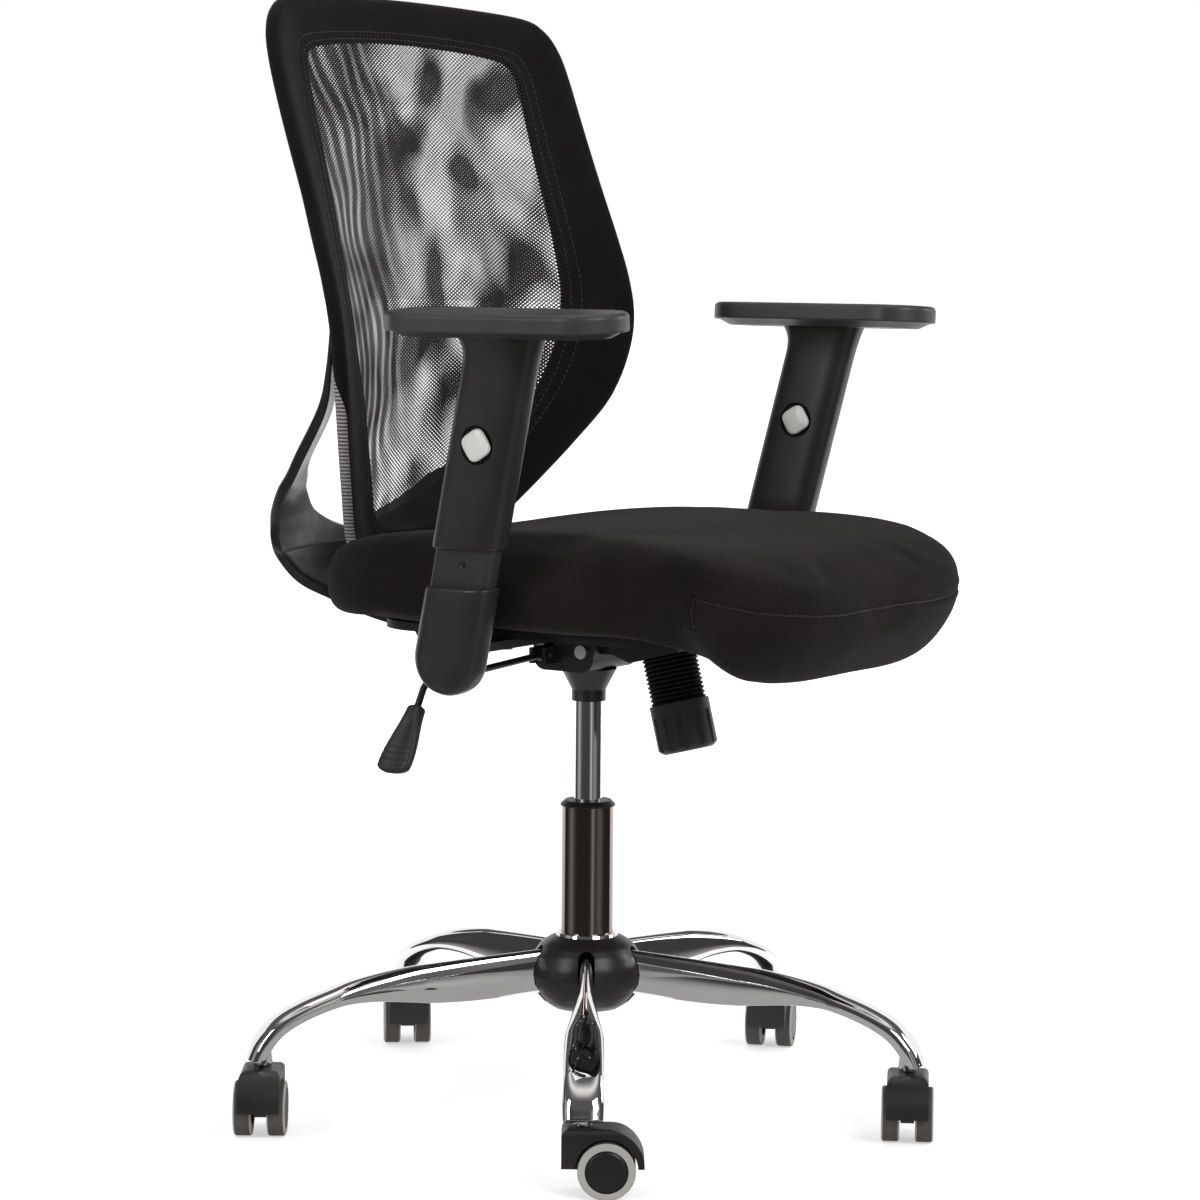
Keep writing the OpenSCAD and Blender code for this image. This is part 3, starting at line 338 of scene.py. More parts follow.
def plastic(name, color, rough, grain=0.0006, strength=0.12, vary=0.2, specular=0.5):
    """Moulded plastic: spark-eroded grain, cloudy gloss and a little colour variation."""
    s = Shade(name, color, rough, specular=specular)
    s.tint(s.spread(s.noise(14, 2), 0, 1), dim(color, 1 - vary), dim(color, 1 + vary))
    s.rough(s.noise(45, 4), rough - 0.04, rough + 0.05)
    s.bump(s.noise(1 / grain, 2), strength, grain * 0.4)
    return s.mat


def metal(name, color, rough, wavy=0.02, scratch=0.0):
    """Plated or polished metal: slight orange peel and hairline wear."""
    s = Shade(name, color, rough, metal=1.0)
    s.tint(s.spread(s.noise(9, 3), 0, 1), dim(color, 0.94), color)
    s.rough(s.noise(60, 5, (1, 1, 0.2)), max(rough - 0.02, 0.01), rough + 0.03 + scratch)
    s.bump(s.noise(38, 2), wavy, 0.002)
    return s.mat


def weave(s, pitch, strength, depth):
    """Diagonal weave that keeps its scale on every face: three crossed sine waves."""
    a = s.wave((1, 1, 0.9), pitch)
    b = s.wave((1, -1, 0.9), pitch)
    c = s.wave((0.9, 0.8, -1.1), pitch)
    both = s.math("ADD", s.math("MULTIPLY", a, b), s.math("MULTIPLY", c, 0.5))
    s.bump(both, strength, depth)
    return both


def fabric(name, color, pitch, strength, sheen, warm=(1, 1, 1)):
    """Warp-knitted upholstery: woven bump, gaps painted darker as shade in the weave's hollows, soft
    sheen and cloudy nap.
    """
    s = Shade(name, color, 0.92, specular=0.12, sheen=sheen)
    s.bsdf.inputs["Sheen Tint"].default_value = (0.75, 0.68, 0.7, 1)
    threads = weave(s, pitch, strength, pitch * 0.3)
    nap = s.noise(16, 4)
    low = tuple(c * w * 0.62 for c, w in zip(color, warm))
    high = tuple(c * 1.45 for c in color)
    # Darker where the weave's bump is low: painted shade in its hollows, over a random nap tone.
    fac = s.math("ADD", s.math("MULTIPLY", threads, 0.22), s.spread(nap, 0.15, 0.85))
    s.tint(fac, low, high)
    s.bump(s.noise(900, 2), 0.12, 0.0004)
    return s.mat


def ribbed(name, light, dark, pitch):
    """Rib knit: level light ribs, with the furrows between them painted dark as shade."""
    s = Shade(name, light, 0.85, specular=0.15, sheen=0.2)
    rib = s.wave((0, 0, 1), pitch)
    cross = s.wave((1, 1, 0), pitch * 0.7)
    both = s.math("ADD", rib, s.math("MULTIPLY", cross, 0.35))
    # Dark where the rib's bump is low: painted shade in the furrows.
    s.tint(s.spread(both, 0, 1, -0.7, 0.5), dark, light)
    s.bump(rib, 0.5, pitch * 0.3)
    return s.mat


# Looks of the record's material slots
M = {
    "chrome": metal("chrome_plate", (0.86, 0.86, 0.87), 0.035, wavy=0.012),
    "chrome_rod": metal("cylinder_chrome", (0.84, 0.88, 0.9), 0.14, wavy=0.004),
    # Dark chrome: its base colour is darkened to a brownish grey, which paints darker reflections on top
    # of those that the cards give.
    "dark_chrome": metal("chrome_painted_dark_reflections", (0.30, 0.25, 0.23), 0.09, wavy=0.006),
    "zinc_steel": metal("zinc_plate", (0.9, 0.9, 0.88), 0.36, wavy=0.03, scratch=0.1),
    "grey_steel": metal("turned_steel", (0.11, 0.11, 0.112), 0.38, wavy=0.02, scratch=0.08),
    "black_steel": plastic("powder_coat", (0.012,) * 3, 0.42, grain=0.0009, strength=0.3),
    "hub_plastic": plastic("hub_plastic_look", (0.014, 0.013, 0.0125), 0.34, strength=0.08),
    "black_nylon": plastic("black_nylon_look", (0.013, 0.0125, 0.012), 0.4, grain=0.0007, strength=0.16),
    "wheel_nylon": plastic("wheel_cap", (0.009,) * 3, 0.36),
    "grey_tread": plastic("tread_rubber", (0.42, 0.42, 0.39), 0.62, grain=0.0008, strength=0.25,
                          vary=0.07, specular=0.3),
    "knob_plastic": plastic("knob_look", (0.02, 0.02, 0.019), 0.46, strength=0.25),
    "black_rubber": plastic("bellows_rubber", (0.006, 0.0055, 0.0055), 0.55, strength=0.1, specular=0.3),
    "shell_plastic": plastic("shell_look", (0.009,) * 3, 0.6, grain=0.001, strength=0.3),
    "arm_plastic": plastic("arm_look", (0.019, 0.019, 0.0172), 0.33, grain=0.0005, strength=0.08),
    "post_plastic": plastic("post_look", (0.024, 0.024, 0.0225), 0.45, grain=0.0005, strength=0.1),
    "pad_rubber": plastic("pad_look", (0.036,) * 3, 0.4, grain=0.0007, strength=0.2, specular=0.55),
    "yoke_plastic": plastic("yoke_look", (0.009, 0.0088, 0.0088), 0.3, grain=0.0008, strength=0.05),
    "button_silver": plastic("silver_button", (0.68, 0.68, 0.65), 0.3, grain=0.0004, strength=0.06,
                             vary=0.04, specular=0.6),
    "seat_fabric": fabric("seat_weave", (0.0095, 0.0075, 0.0068), 0.0026, 0.35, 0.07, (1.0, 0.95, 0.95)),
    "back_mesh": fabric("border_knit", (0.0062, 0.0055, 0.0056), 0.0022, 0.2, 0.1),
}
M["spring_steel"] = M["grey_steel"]
M["frame_plastic"] = M["back_mesh"]
ribs_look = ribbed("rib_knit", (0.42, 0.39, 0.41), (0.06, 0.05, 0.055), 0.0036)
# Dark brownish running face of the caster treads: painted shade.
painted_shade_tread_look = plastic("running_face_painted_shade", (0.09, 0.078, 0.07), 0.6, grain=0.0009, strength=0.3,
                       vary=0.25, specular=0.3)
thread_look = fabric("seam_thread", (0.012, 0.0105, 0.01), 0.0012, 0.5, 0.25)
stitch_look = fabric("stitch_thread", (0.06, 0.055, 0.058), 0.0012, 0.3, 0.2)
for part in frame["record"]["subparts"]:
    for slot in nodes[part["node"]].material_slots:
        slot.material = M[part["material_slot"]]


# ---- star base

leg_start, leg_step, base_r, leg_root, leg_tip = 212.9, 72, 320, 139, 63
# Each row: position along the leg, radius, height, slope in degrees, section's height, its width
leg_knots = [
    [0, 24, leg_root, 3, 42, 13], [1, 105, leg_root - 6, 4, 42, 14],
    [2, 151, leg_root - 8, 5, 39, 17], [3, 175, leg_root - 8, 6, 35, 20],
    [4, 205, leg_root - 9, 9, 28, 26], [5, 232, leg_root - 12, 14, 22.5, 32],
    [6, 251, leg_root - 16.5, 17, 18.7, 36], [7, 281, leg_root - 27, 23, 18, 37],
    [8, 305, leg_root - 40, 38, 18.5, 37], [9, 320, leg_tip + 20, 57, 18.5, 37],
    [10, 328, leg_tip + 4, 68, 18, 36]]


def leg_ring(t, shrink=1.0, push=0.0):
    """Section of a leg, a rounded rectangle square to the leg's run."""
    r, z, a, h, w = (spline(leg_knots, t, c) for c in range(1, 6))
    a, squareness = radians(a), 0.8
    ring = []
    for c, s in circle(48):
        lift = power(c, squareness) * h / 2 * shrink
        across = power(s, squareness) * w / 2 * shrink
        ring.append((r + lift * sin(a) + push * cos(a), across, z + lift * cos(a) - push * sin(a)))
    return ring


def turned(points, angle):
    """Points in millimetres, turned about the column and brought to metres."""
    c, s = cos(radians(angle)), sin(radians(angle))
    return [((x * c - y * s) * MM, (x * s + y * c) * MM, z * MM) for x, y, z in points]


def star_piece():
    """Five legs with rounded ends, the cup at each stem, and the tube that the column stands in."""
    cup = [(5.2, 66), (5.2, 63.3), (8.6, 63), (9.3, 63.3), (9.5, 64.2), (9.5, 84), (8, 85), (5.2, 85)]
    tube = [(25.02, 102.2), (25.5, 102), (29.6, 102), (30, 102.4),
            (30, 173.6), (29.6, 174), (25.5, 174), (25.02, 173.8)]
    last, steps = leg_knots[-1][0], 110
    parts = []
    for i in range(5):
        angle = leg_start + i * leg_step
        rings = [leg_ring(last * k / steps) for k in range(steps + 1)]
        rings += [leg_ring(last, s, p) for s, p in ((0.99, 0.25), (0.95, 0.45), (0.88, 0.5))]
        parts.append(loft([turned(r, angle) for r in rings]))
        rings = lathe(cup, lambda x, y, z: (base_r + x, y, z), 40)
        parts.append(loft([turned(r, angle) for r in rings], closed=True))
    parts.append(loft(lathe(tube, placed(Matrix.Identity(4)), 72), closed=True))
    make("star_legs", join_parts(parts), "base", "chrome", sharp=50, node="star_base")


star_piece()


# ---- yoke

yoke_thick = 12
# Each row: position along the band, half width, place in y and z, half width of the opening
# between the two arms, how far the band is bowed, and its share of the full thickness
yoke_knots = [
    [0, 236, 131.3, 780, 222, 0.6, 0.33], [1, 241, 129.3, 752, 214, 0.6, 0.42],
    [2, 240, 134.3, 718, 202, 0.62, 0.6], [3, 231, 150, 684, 184, 0.64, 0.9],
    [4, 215, 189, 638, 162, 0.66, 1], [5, 206, 207, 618, 136, 0.62, 1],
    [6, 198, 224, 602, 106, 0.6, 1], [7, 185, 242, 581, 78, 0.5, 1],
    [8, 175, 251, 565, 42, 0.45, 1], [9, 168, 256, 551, 0, 0.42, 1],
    [10, 157, 259, 535, 0, 0.36, 1], [11, 143, 252, 515, 0, 0.28, 1],
    [12, 131, 243, 503, 0, 0.2, 1], [13, 116, 226, 492, 0, 0.1, 1],
    [14, 102, 192, 476.5, 0, 0.04, 1], [15, 95, 156, 467.5, 0, 0, 1],
    [16, 95, 133, 466, 0, 0, 1], [17, 95, 125, 466, 0, 0, 1], [18, 95, 66, 466, 0, 0, 1]]
yoke_end = yoke_knots[-1][0]


def yoke_ring(t, side, edge=2.4):
    """Section of the yoke's band with rounded edges; the bow runs across it."""
    x1, y, z, x0, tilt, share = (spline(yoke_knots, t, c) for c in range(1, 7))
    x0 = max(x0, 0)
    bow = tilt * x1 / 2
    a, b = max(t - 0.1, 0), min(t + 0.1, yoke_end)
    dy = spline(yoke_knots, b, 2) - spline(yoke_knots, a, 2)
    dz = spline(yoke_knots, b, 3) - spline(yoke_knots, a, 3)
    thick = yoke_thick * share
    ny, nz = dz / hypot(dy, dz), -dy / hypot(dy, dz)
    r = min(edge, 0.45 * thick)
    ri = min(r, x0 / 6)
    quarter = [pi / 2 * k / 4 for k in range(5)]
    flat = [x0 + ri + (x1 - r - x0 - ri) * k / 14 for k in range(15)]
    outline = [(x, 0) for x in flat]
    outline += [(x1 - r + r * sin(q), r - r * cos(q)) for q in quarter[1:]]
    outline += [(x1 - r + r * cos(q), thick - r + r * sin(q)) for q in quarter]
    outline += [(x, thick) for x in reversed(flat[:-1])]
    outline += [(x0 + ri - ri * sin(q), thick - r + r * cos(q)) for q in quarter[1:]]
    outline += [(x0 + ri - ri * cos(q), r - r * sin(q)) for q in quarter[:-1]]
    return [(side * x * MM, (y + bow * (1 - (x / x1) ** 2) + d * ny) * MM, (z + d * nz) * MM)
            for x, d in outline]


def yoke_piece():
    """Two mirrored halves, welded where they meet in the middle."""
    steps = 8 * yoke_end
    parts = [loft([yoke_ring(yoke_end * k / steps, side) for k in range(steps + 1)])
             for side in (1, -1)]
    yoke = make("yoke_band", join_parts(parts), "seat", "yoke_plastic", node="yoke")
    with edited(yoke.data) as bm:
        inner = [f for f in bm.faces if all(abs(v.co.x) < 1e-5 for v in f.verts)]
        bmesh.ops.delete(bm, geom=inner, context="FACES_ONLY")
        bmesh.ops.remove_doubles(bm, verts=[v for v in bm.verts if abs(v.co.x) < 1e-5], dist=1e-5)
        bmesh.ops.recalc_face_normals(bm, faces=bm.faces)
    sharpen(yoke, 55)


yoke_piece()


# ---- back

# Each row: height, half width of the back, its place in y at the side, depth of its hollow
back_knots = [
    [505, 80, 212, 2], [530, 98, 206, 5], [560, 119, 195, 12], [600, 155, 171.5, 26],
    [640, 189, 149, 40], [680, 219, 129, 52], [720, 236, 119, 60], [760, 245, 117, 62],
    [800, 246.5, 124.5, 58], [840, 245, 137.5, 50], [880, 242, 151.5, 42], [920, 240.5, 166, 35],
    [960, 239, 180, 28], [1000, 236.5, 193, 22], [1030, 233, 202, 19], [1070, 230, 213, 17]]
# Half of the rail's centre line: [x, z] from the middle of the bottom to the middle of the top
half_path = [
    [0, 513], [45, 514], [76, 520], [96, 536], [119, 560], [155, 600], [189, 640], [219, 680],
    [236, 720], [245, 760], [246.5, 800], [245, 840], [242, 880], [240.5, 920], [239, 960],
    [236.5, 1000], [230.5, 1027], [216, 1046], [188, 1056], [104, 1061], [0, 1063]]
# Edge of the see-through window: from the middle of the bottom to the middle of the top
half_window = [
    [0, 553], [26, 553.5], [46, 556], [62, 564], [76, 580], [99, 618], [122, 655], [142, 690],
    [157, 722], [167, 752], [173, 790], [173.5, 830], [172, 875], [170.5, 915], [170, 955],
    [169, 985], [167, 1001], [160, 1012], [145, 1018], [90, 1024], [0, 1027]]
rail_front, rail_rear, rail_half, net_front, net_rear = 7.0, 7.25, 6.5, -2.5, 7.0
cloth_over_rail, rail_squareness, window_stretch = 0.6, 0.8, 1.04
# The net: pitch in metres, a diamond's width over its height, the sine below which there is thread, and
# the thread widths between which its painted moiré bands of light and dark swing
net_pitch, net_lean, plain_thread, moire_thread_widths = 0.0062, 1.67, 0.42, (0.2, 0.95)


def mirrored(half):
    return half + [[-x, z] for x, z in reversed(half[1:-1])]


def closed_at(path, t):
    """Point of a closed path by a cubic through four neighbours."""
    i, n = floor(t), len(path)
    u = t - i
    p = [path[(i + k) % n] for k in (-1, 0, 1, 2)]
    return tuple(0.5 * (2 * p[1][c] + (p[2][c] - p[0][c]) * u
                        + (2 * p[0][c] - 5 * p[1][c] + 4 * p[2][c] - p[3][c]) * u * u
                        + (3 * p[1][c] - p[0][c] - 3 * p[2][c] + p[3][c]) * u ** 3)
                 for c in (0, 1))


rail_path = mirrored(half_path)
window_path = mirrored([[x * window_stretch, z] for x, z in half_window])
path_n = len(rail_path)


def rail_wrap(q):
    """Depth and outward push of cloth that goes round the rail; q is 0 in front, pi behind."""
    depth = -(rail_front if q < pi / 2 else rail_rear) * cos(q)
    return depth, (rail_half + cloth_over_rail) * sin(q) ** rail_squareness


def back_y(x, z):
    """The back's middle surface: hollow across, curved in height."""
    w = spline(back_knots, z, 1)
    return spline(back_knots, z, 2) + spline(back_knots, z, 3) * (1 - (x / w) ** 2)


def layer_point(x, z, side, share=1.0, inside=0.0):
    """Point of the cover's front (-1) or rear (1) layer; share is 0 at the rail, 1 at the window."""
    depth, net_depth = (rail_front, net_front) if side < 0 else (rail_rear, net_rear)
    depth += (net_depth - depth) * float(ease(1.3 * share))
    return x * MM, (back_y(x, z) + side * (depth - inside)) * MM, z * MM


def cover_point(t, share, side, inside=0.0):
    """Point of a layer on the way from the window's edge (share 0) to the rail (share 1)."""
    w, p = closed_at(window_path, t), closed_at(rail_path, t)
    x, z = (a + (b - a) * share for a, b in zip(w, p))
    return layer_point(x, z, side, 1 - share, inside)


def border_piece():
    """Sleeve of opaque knit: window edge, over the front, round the rail and back."""
    per_knot, across, wrap = 5, 12, 12
    rings = []
    for k in range(per_knot * path_n):
        t = k / per_knot
        p, b, a = (closed_at(rail_path, t + d) for d in (0, 0.05, -0.05))
        length = hypot(b[0] - a[0], b[1] - a[1])
        out = ((b[1] - a[1]) / length, -(b[0] - a[0]) / length)
        front, rear = ([cover_point(t, j / across, side) for j in range(across)] for side in (-1, 1))
        round_rail = []
        for j in range(wrap + 1):
            depth, push = rail_wrap(pi * j / wrap)
            round_rail.append(((p[0] + out[0] * push) * MM, (back_y(*p) + depth) * MM,
                               (p[1] + out[1] * push) * MM))
        rings.append(front + round_rail + rear[::-1])
    sleeve = make("back_sleeve", loft(rings, closed=True, around=False), "seat", "back_mesh")


def mesh_layer(name, side, look, node=None):
    """See-through panel of one layer, tucked a few millimetres under the sleeve's edge."""
    per_knot, rows = 4, 26
    rounds = per_knot * path_n
    centre_z, tuck, inside = 790, 1.025, 0.3
    verts = [layer_point(0, centre_z, side, inside=inside)]
    for row in range(1, rows + 1):
        grow = row / rows * tuck
        for k in range(rounds):
            x, z = closed_at(window_path, k / per_knot)
            verts.append(layer_point(x * grow, centre_z + (z - centre_z) * grow, side,
                                     inside=inside))
    faces = [(0, 1 + k, 1 + (k + 1) % rounds) for k in range(rounds)]
    for i in range(rows - 1):
        for k in range(rounds):
            a, b = 1 + i * rounds + k, 1 + i * rounds + (k + 1) % rounds
            faces.append((a, b, b + rounds, a + rounds))
    panel = make(name, (verts, faces), "seat", "back_mesh", look, node=node)


def painted_moire_bands(s):
    """Painted moiré: bands of wider and narrower thread that stand in for the light and dark bands the
    two layers show; narrow bands near the right rail, broad ones elsewhere.
    """
    plain = s.coord
    s.drift(5.0, 0.13, 2.0)
    narrow = s.spread(s.wave((1, 0, 0.16), 0.021), 0.5, 1, -1, 0.25)
    slant = s.math("MULTIPLY", s.wave((1, 0, -0.75), 0.088, 0.6), 0.1)
    blotch = s.math("ADD", s.noise(13, 1.5, (1.2, 1, 0.8)), slant)
    broad = s.spread(blotch, 1, 0, 0.38, 0.62)
    s.coord = plain
    split = s.add("ShaderNodeSeparateXYZ")
    s.link(plain, split.inputs[0])
    side = s.spread(split.outputs["X"], 1, 0, -0.085, -0.02)
    keep = s.math("SUBTRACT", 1.0, side)
    return s.math("ADD", s.math("MULTIPLY", narrow, side), s.math("MULTIPLY", broad, keep))


def net(name, scale, reach, stretch, shift=0.0, painted_moire=False):
    """Knitted net with diamond holes; its threads wander a little, as stretched cloth does. On the rear
    layer the thread width also follows the painted moiré bands.
    """
    s = Shade(name, (0.014, 0.0115, 0.013), 0.6, specular=0.25, sheen=0.1)
    # Painted moiré: light and dark bands set into the thread width.
    folds = painted_moire_bands(s) if painted_moire else None
    s.drift(scale, reach, 1.0, stretch)
    a = s.math("ABSOLUTE", s.wave((1, 0, net_lean), net_pitch, shift))
    b = s.math("ABSOLUTE", s.wave((1, 0, -net_lean), net_pitch, shift))
    width = s.spread(folds, *moire_thread_widths, 0, 1) if painted_moire else plain_thread
    thread = s.math("LESS_THAN", s.math("MINIMUM", a, b), width)
    s.link(thread, s.bsdf.inputs["Alpha"])
    s.bump(s.math("MULTIPLY", a, b), 0.6, 0.0004)
    return s.mat


border_piece()
front_look = net("front_net_look", 4.0, 0.002, (1, 0.3, 0.6))
# The rear layer carries the painted moiré bands of light and dark.
rear_look = net("rear_net_look", 7.0, 0.011, (1, 0.3, 0.8), shift=0.9, painted_moire=True)
mesh_layer("front_net", -1, front_look, node="back_cover")
mesh_layer("rear_net", 1, rear_look)


def hem_stitches(name, share):
    """One row of lockstitches round the window, lying on the sleeve's front."""
    per_knot, step, stitch, repeat = 12, 0.00125, 4, 5
    points = [Vector(cover_point(k / per_knot, share, -1, inside=-0.25))
              for k in range(per_knot * path_n + 1)]
    line = even_steps(points, step)
    parts = []
    for k in range(0, len(line) - stitch + 1, repeat):
        span = [(p, Vector((0, -1, 0))) for p in line[k:k + stitch]]
        parts.append(cord(span, 0.0004, sides=6))
    make(name, join_parts(parts), "seat", "seat_fabric", stitch_look)


hem_stitches("hem_stitches_inner", 0.12)
hem_stitches("hem_stitches_outer", 0.3)


def gusset_piece(side):
    """Ribbed knit that shows on the outer side of the sleeve, low down."""
    low, high, steps, across, proud = 520, 735, 60, 10, 0.25
    rail = [(pz, px) for px, pz in half_path if pz < 800]
    rows = []
    for k in range(steps + 1):
        z = low + (high - low) * k / steps
        x = spline(rail, z, 1)
        rise, run = 4, spline(rail, z + 2, 1) - spline(rail, z - 2, 1)
        out = (rise / hypot(run, rise), -run / hypot(run, rise))
        fade = ease((high - z) / 60) * ease((z - low + 6) / 20)
        row = []
        for j in range(across + 1):
            depth, push = rail_wrap(pi * (0.93 - (0.75 * fade + 0.02) * j / across))
            push += proud
            row.append((side * (x + out[0] * push) * MM, (back_y(x, z) + depth) * MM,
                        (z + out[1] * push) * MM))
        rows.append(row)
    piece = make("side_knit_" + word_of(side), loft(rows, caps=False, around=False), "seat",
                 "back_mesh", ribs_look)


for side in (-1, 1):
    gusset_piece(side)


# ---- cushion

seat_w, seat_front, seat_rear, shell_top = 480, 333, 197, 486
shell_w, shell_front, shell_rear, shell_r = 394, 205, 125, 60
cushion_h, front_drop, cushion_wrap, gap = 91, 46, 9, 0.3
# Each row: share of the half width at the rear, level from -1 (bottom) to 1 (top), share in front
cushion_section = [
    [0.0, -1, 0.0], [0.1, -1, 0.1], [0.2, -1, 0.2], [0.3, -1, 0.3], [0.4, -1, 0.4],
    [0.47, -1, 0.47], [0.53, -1, 0.53], [0.6, -1, 0.6], [0.67, -1, 0.67], [0.75, -0.995, 0.74],
    [0.84, -0.975, 0.8], [0.905, -0.93, 0.84], [0.965, -0.82, 0.885], [0.99, -0.6, 0.93],
    [1, -0.2, 0.978], [1, 0.2, 1], [0.988, 0.55, 1], [0.957, 0.8, 0.982], [0.89, 0.94, 0.93],
    [0.76, 1, 0.8], [0.56, 1, 0.6], [0.36, 1, 0.38], [0.15, 1, 0.15], [0, 1, 0]]


def cushion_top(x, y):
    """Height of the cushion's top, which falls towards the rear and the front and dips in the middle."""
    return (shell_top + cushion_h - 21 * (max(y + 70, 0) / 260) ** 2
            - 33 * (max(-y - 130, 0) / 200) ** 2
            - 7 * (1 - (x / 240) ** 2) * ease((y + 300) / 160))


def past_shell(x, y):
    """How far a point lies outside the shell's rounded rectangle, in millimetres."""
    dx = abs(x) - shell_w / 2 + shell_r
    dy = abs(y - (shell_rear - shell_front) / 2) - (shell_front + shell_rear) / 2 + shell_r
    return hypot(max(dx, 0), max(dy, 0)) - shell_r


def cushion_bottom(x, y):
    """Height of the underside: level on the shell, wrapped over its sides and deep in front of it."""
    fall = front_drop * ease((-y - shell_front - 13) / 50) * (1 - 0.17 * ease((abs(x) - 60) / 170))
    wrap = cushion_wrap * ease((past_shell(x, y) - 18) / 12) * ease((abs(x) - 125) / 35)
    return shell_top + gap - max(fall, wrap)


def cushion_ring(t, inset, sides=128):
    """Closed outline of the cushion at one station of its section."""
    knots = [[k, *row] for k, row in enumerate(cushion_section)]
    rear, level, front = (spline(knots, t, c) for c in (1, 2, 3))
    level = min(max(level, -1), 1)
    mid_y, half_l = (seat_rear - seat_front) / 2, (seat_rear + seat_front) / 2
    ring = []
    for j in range(sides):
        q = 2 * pi * (j + 0.5) / sides
        corner = 0.4 if q < pi else 0.48
        share = max(rear + (front - rear) * ease(-2 * sin(q)), 0.002)
        x = (seat_w / 2 - inset) * power(cos(q), corner) * share
        y = mid_y + (half_l - inset) * power(sin(q), corner) * share
        top, bottom = cushion_top(x, y), cushion_bottom(x, y)
        top -= inset * ease((level + 1) / 1.2)
        ring.append((x * MM, y * MM, ((top + bottom) / 2 + level * (top - bottom) / 2) * MM))
    return ring


def cushion_blank(inset):
    last = len(cushion_section) - 1
    steps = 3 * last
    return loft([cushion_ring(last * k / steps, inset) for k in range(steps + 1)])


def swell(obj, pressure, cap, hold):
    """Inflates a closed pad with cloth; hold(point) gives how firmly a point stays, 0 to 1."""
    scene = bpy.context.scene
    mod = obj.modifiers.new("remesh", "REMESH")
    mod.mode, mod.voxel_size, mod.use_smooth_shade = "VOXEL", 0.005, True
    apply_modifiers(obj)
    start = [v.co.copy() for v in obj.data.vertices]
    group = obj.vertex_groups.new(name="held")
    for v in obj.data.vertices:
        weight = hold(v.co)
        if weight > 0:
            group.add([v.index], weight, "REPLACE")
    cloth = obj.modifiers.new("cloth", "CLOTH")
    cloth.settings.use_pressure = True
    cloth.settings.uniform_pressure_force = pressure
    cloth.settings.effector_weights.gravity = 0
    cloth.settings.quality = 6
    cloth.settings.mass = 0.3
    cloth.settings.tension_stiffness = cloth.settings.compression_stiffness = 18
    cloth.settings.shear_stiffness = 8
    cloth.settings.bending_stiffness = 2.5
    cloth.settings.vertex_group_mass = "held"
    for number in range(1, 21):
        scene.frame_set(number)
    apply_modifiers(obj)
    scene.frame_set(1)
    for v, origin in zip(obj.data.vertices, start):
        move = v.co - origin
        if move.length > cap:
            v.co = origin + move * (cap / move.length)
    obj.vertex_groups.clear()


def smooth_mesh(obj, rounds):
    """Moves each vertex halfway to its neighbours' mean, several times."""
    with edited(obj.data) as bm:
        for _ in range(rounds):
            fresh = []
            for v in bm.verts:
                mean = Vector((0, 0, 0))
                for e in v.link_edges:
                    mean += e.other_vert(v).co
                fresh.append(v.co.lerp(mean / max(len(v.link_edges), 1), 0.5))
            for v, co in zip(bm.verts, fresh):
                v.co = co


def cushion_piece():
    blank = cushion_blank(4.5)
    pad = make("seat_pad", blank, "seat", "seat_fabric", node="seat_cushion")
    top_held = shell_top * MM

    def hold(co):
        under = co.z < top_held + 0.004 and past_shell(co.x / MM, co.y / MM) < 2
        return 1.0 if under else 0.0

    swell(pad, 3.0, 0.007, hold)
    smooth_mesh(pad, 8)
    mod = pad.modifiers.new("fine", "SUBSURF")
    mod.levels = mod.render_levels = 1
    apply_modifiers(pad)
    pad.data.polygons.foreach_set("use_smooth", [True] * len(pad.data.polygons))
    return pad


def resample(points, step):
    """Points at equal steps along a smooth curve through the given ones."""
    n = len(points)
    knots = [[k, *p] for k, p in enumerate(points)]
    fine = [Vector([spline(knots, (n - 1) * k / (40 * n), c) for c in (1, 2, 3)])
            for k in range(40 * n + 1)]
    return even_steps(fine, step)


def on_surface(obj, points):
    """The nearest point and normal of a surface for each given point."""
    tree = BVHTree.FromObject(obj, bpy.context.evaluated_depsgraph_get())
    found = [tree.find_nearest(p) for p in points]
    return [(hit[0], hit[1]) for hit in found]


def press_groove(obj, line, depth, width, lip):
    """Presses a seam's groove into a surface, with a small lip on each side of it."""
    tree = KDTree(len(line))
    for k, (p, _) in enumerate(line):
        tree.insert(p, k)
    tree.balance()
    normals = [v.normal.copy() for v in obj.data.vertices]
    for v, normal in zip(obj.data.vertices, normals):
        _, k, d = tree.find(v.co)
        if d > 5 * width:
            continue
        v.co -= normal * (depth * exp(-(d / width) ** 2)
                          - lip * exp(-((d - 2.4 * width) / width) ** 2))


def front_seam(side):
    """Half of the seam that joins the cushion's front panel, from the middle outwards."""
    return [Vector((side * x * MM, y * MM, z * MM)) for x, y, z in (
        (0, -321, 508), (75, -321, 508), (120, -320, 510), (159, -314, 513), (190, -300, 516),
        (206, -284, 520), (225, -252, 527))]


pad = cushion_piece()
round_front = front_seam(-1)[::-1] + front_seam(1)[1:]
seam_line = on_surface(pad, resample(round_front, 0.003))
side_lines = [on_surface(pad, resample([Vector((s * 0.225, -0.252, 0.527)),
                                        Vector((s * 0.229, -0.248, 0.508)),
                                        Vector((s * 0.228, -0.243, 0.488))], 0.003))
              for s in (-1, 1)]
for name, line in zip(("front_seam", "side_seam_right", "side_seam_left"), [seam_line] + side_lines):
    press_groove(pad, line, 0.0016, 0.0024, lip=0.0009)
    make(name, cord(line, 0.0008, sink=0.0008), "seat", "seat_fabric", thread_look)


# ---- hub, arms and lever

copy_node("hub_cover", "hub_shell", "base", "hub_plastic", sharp=38)

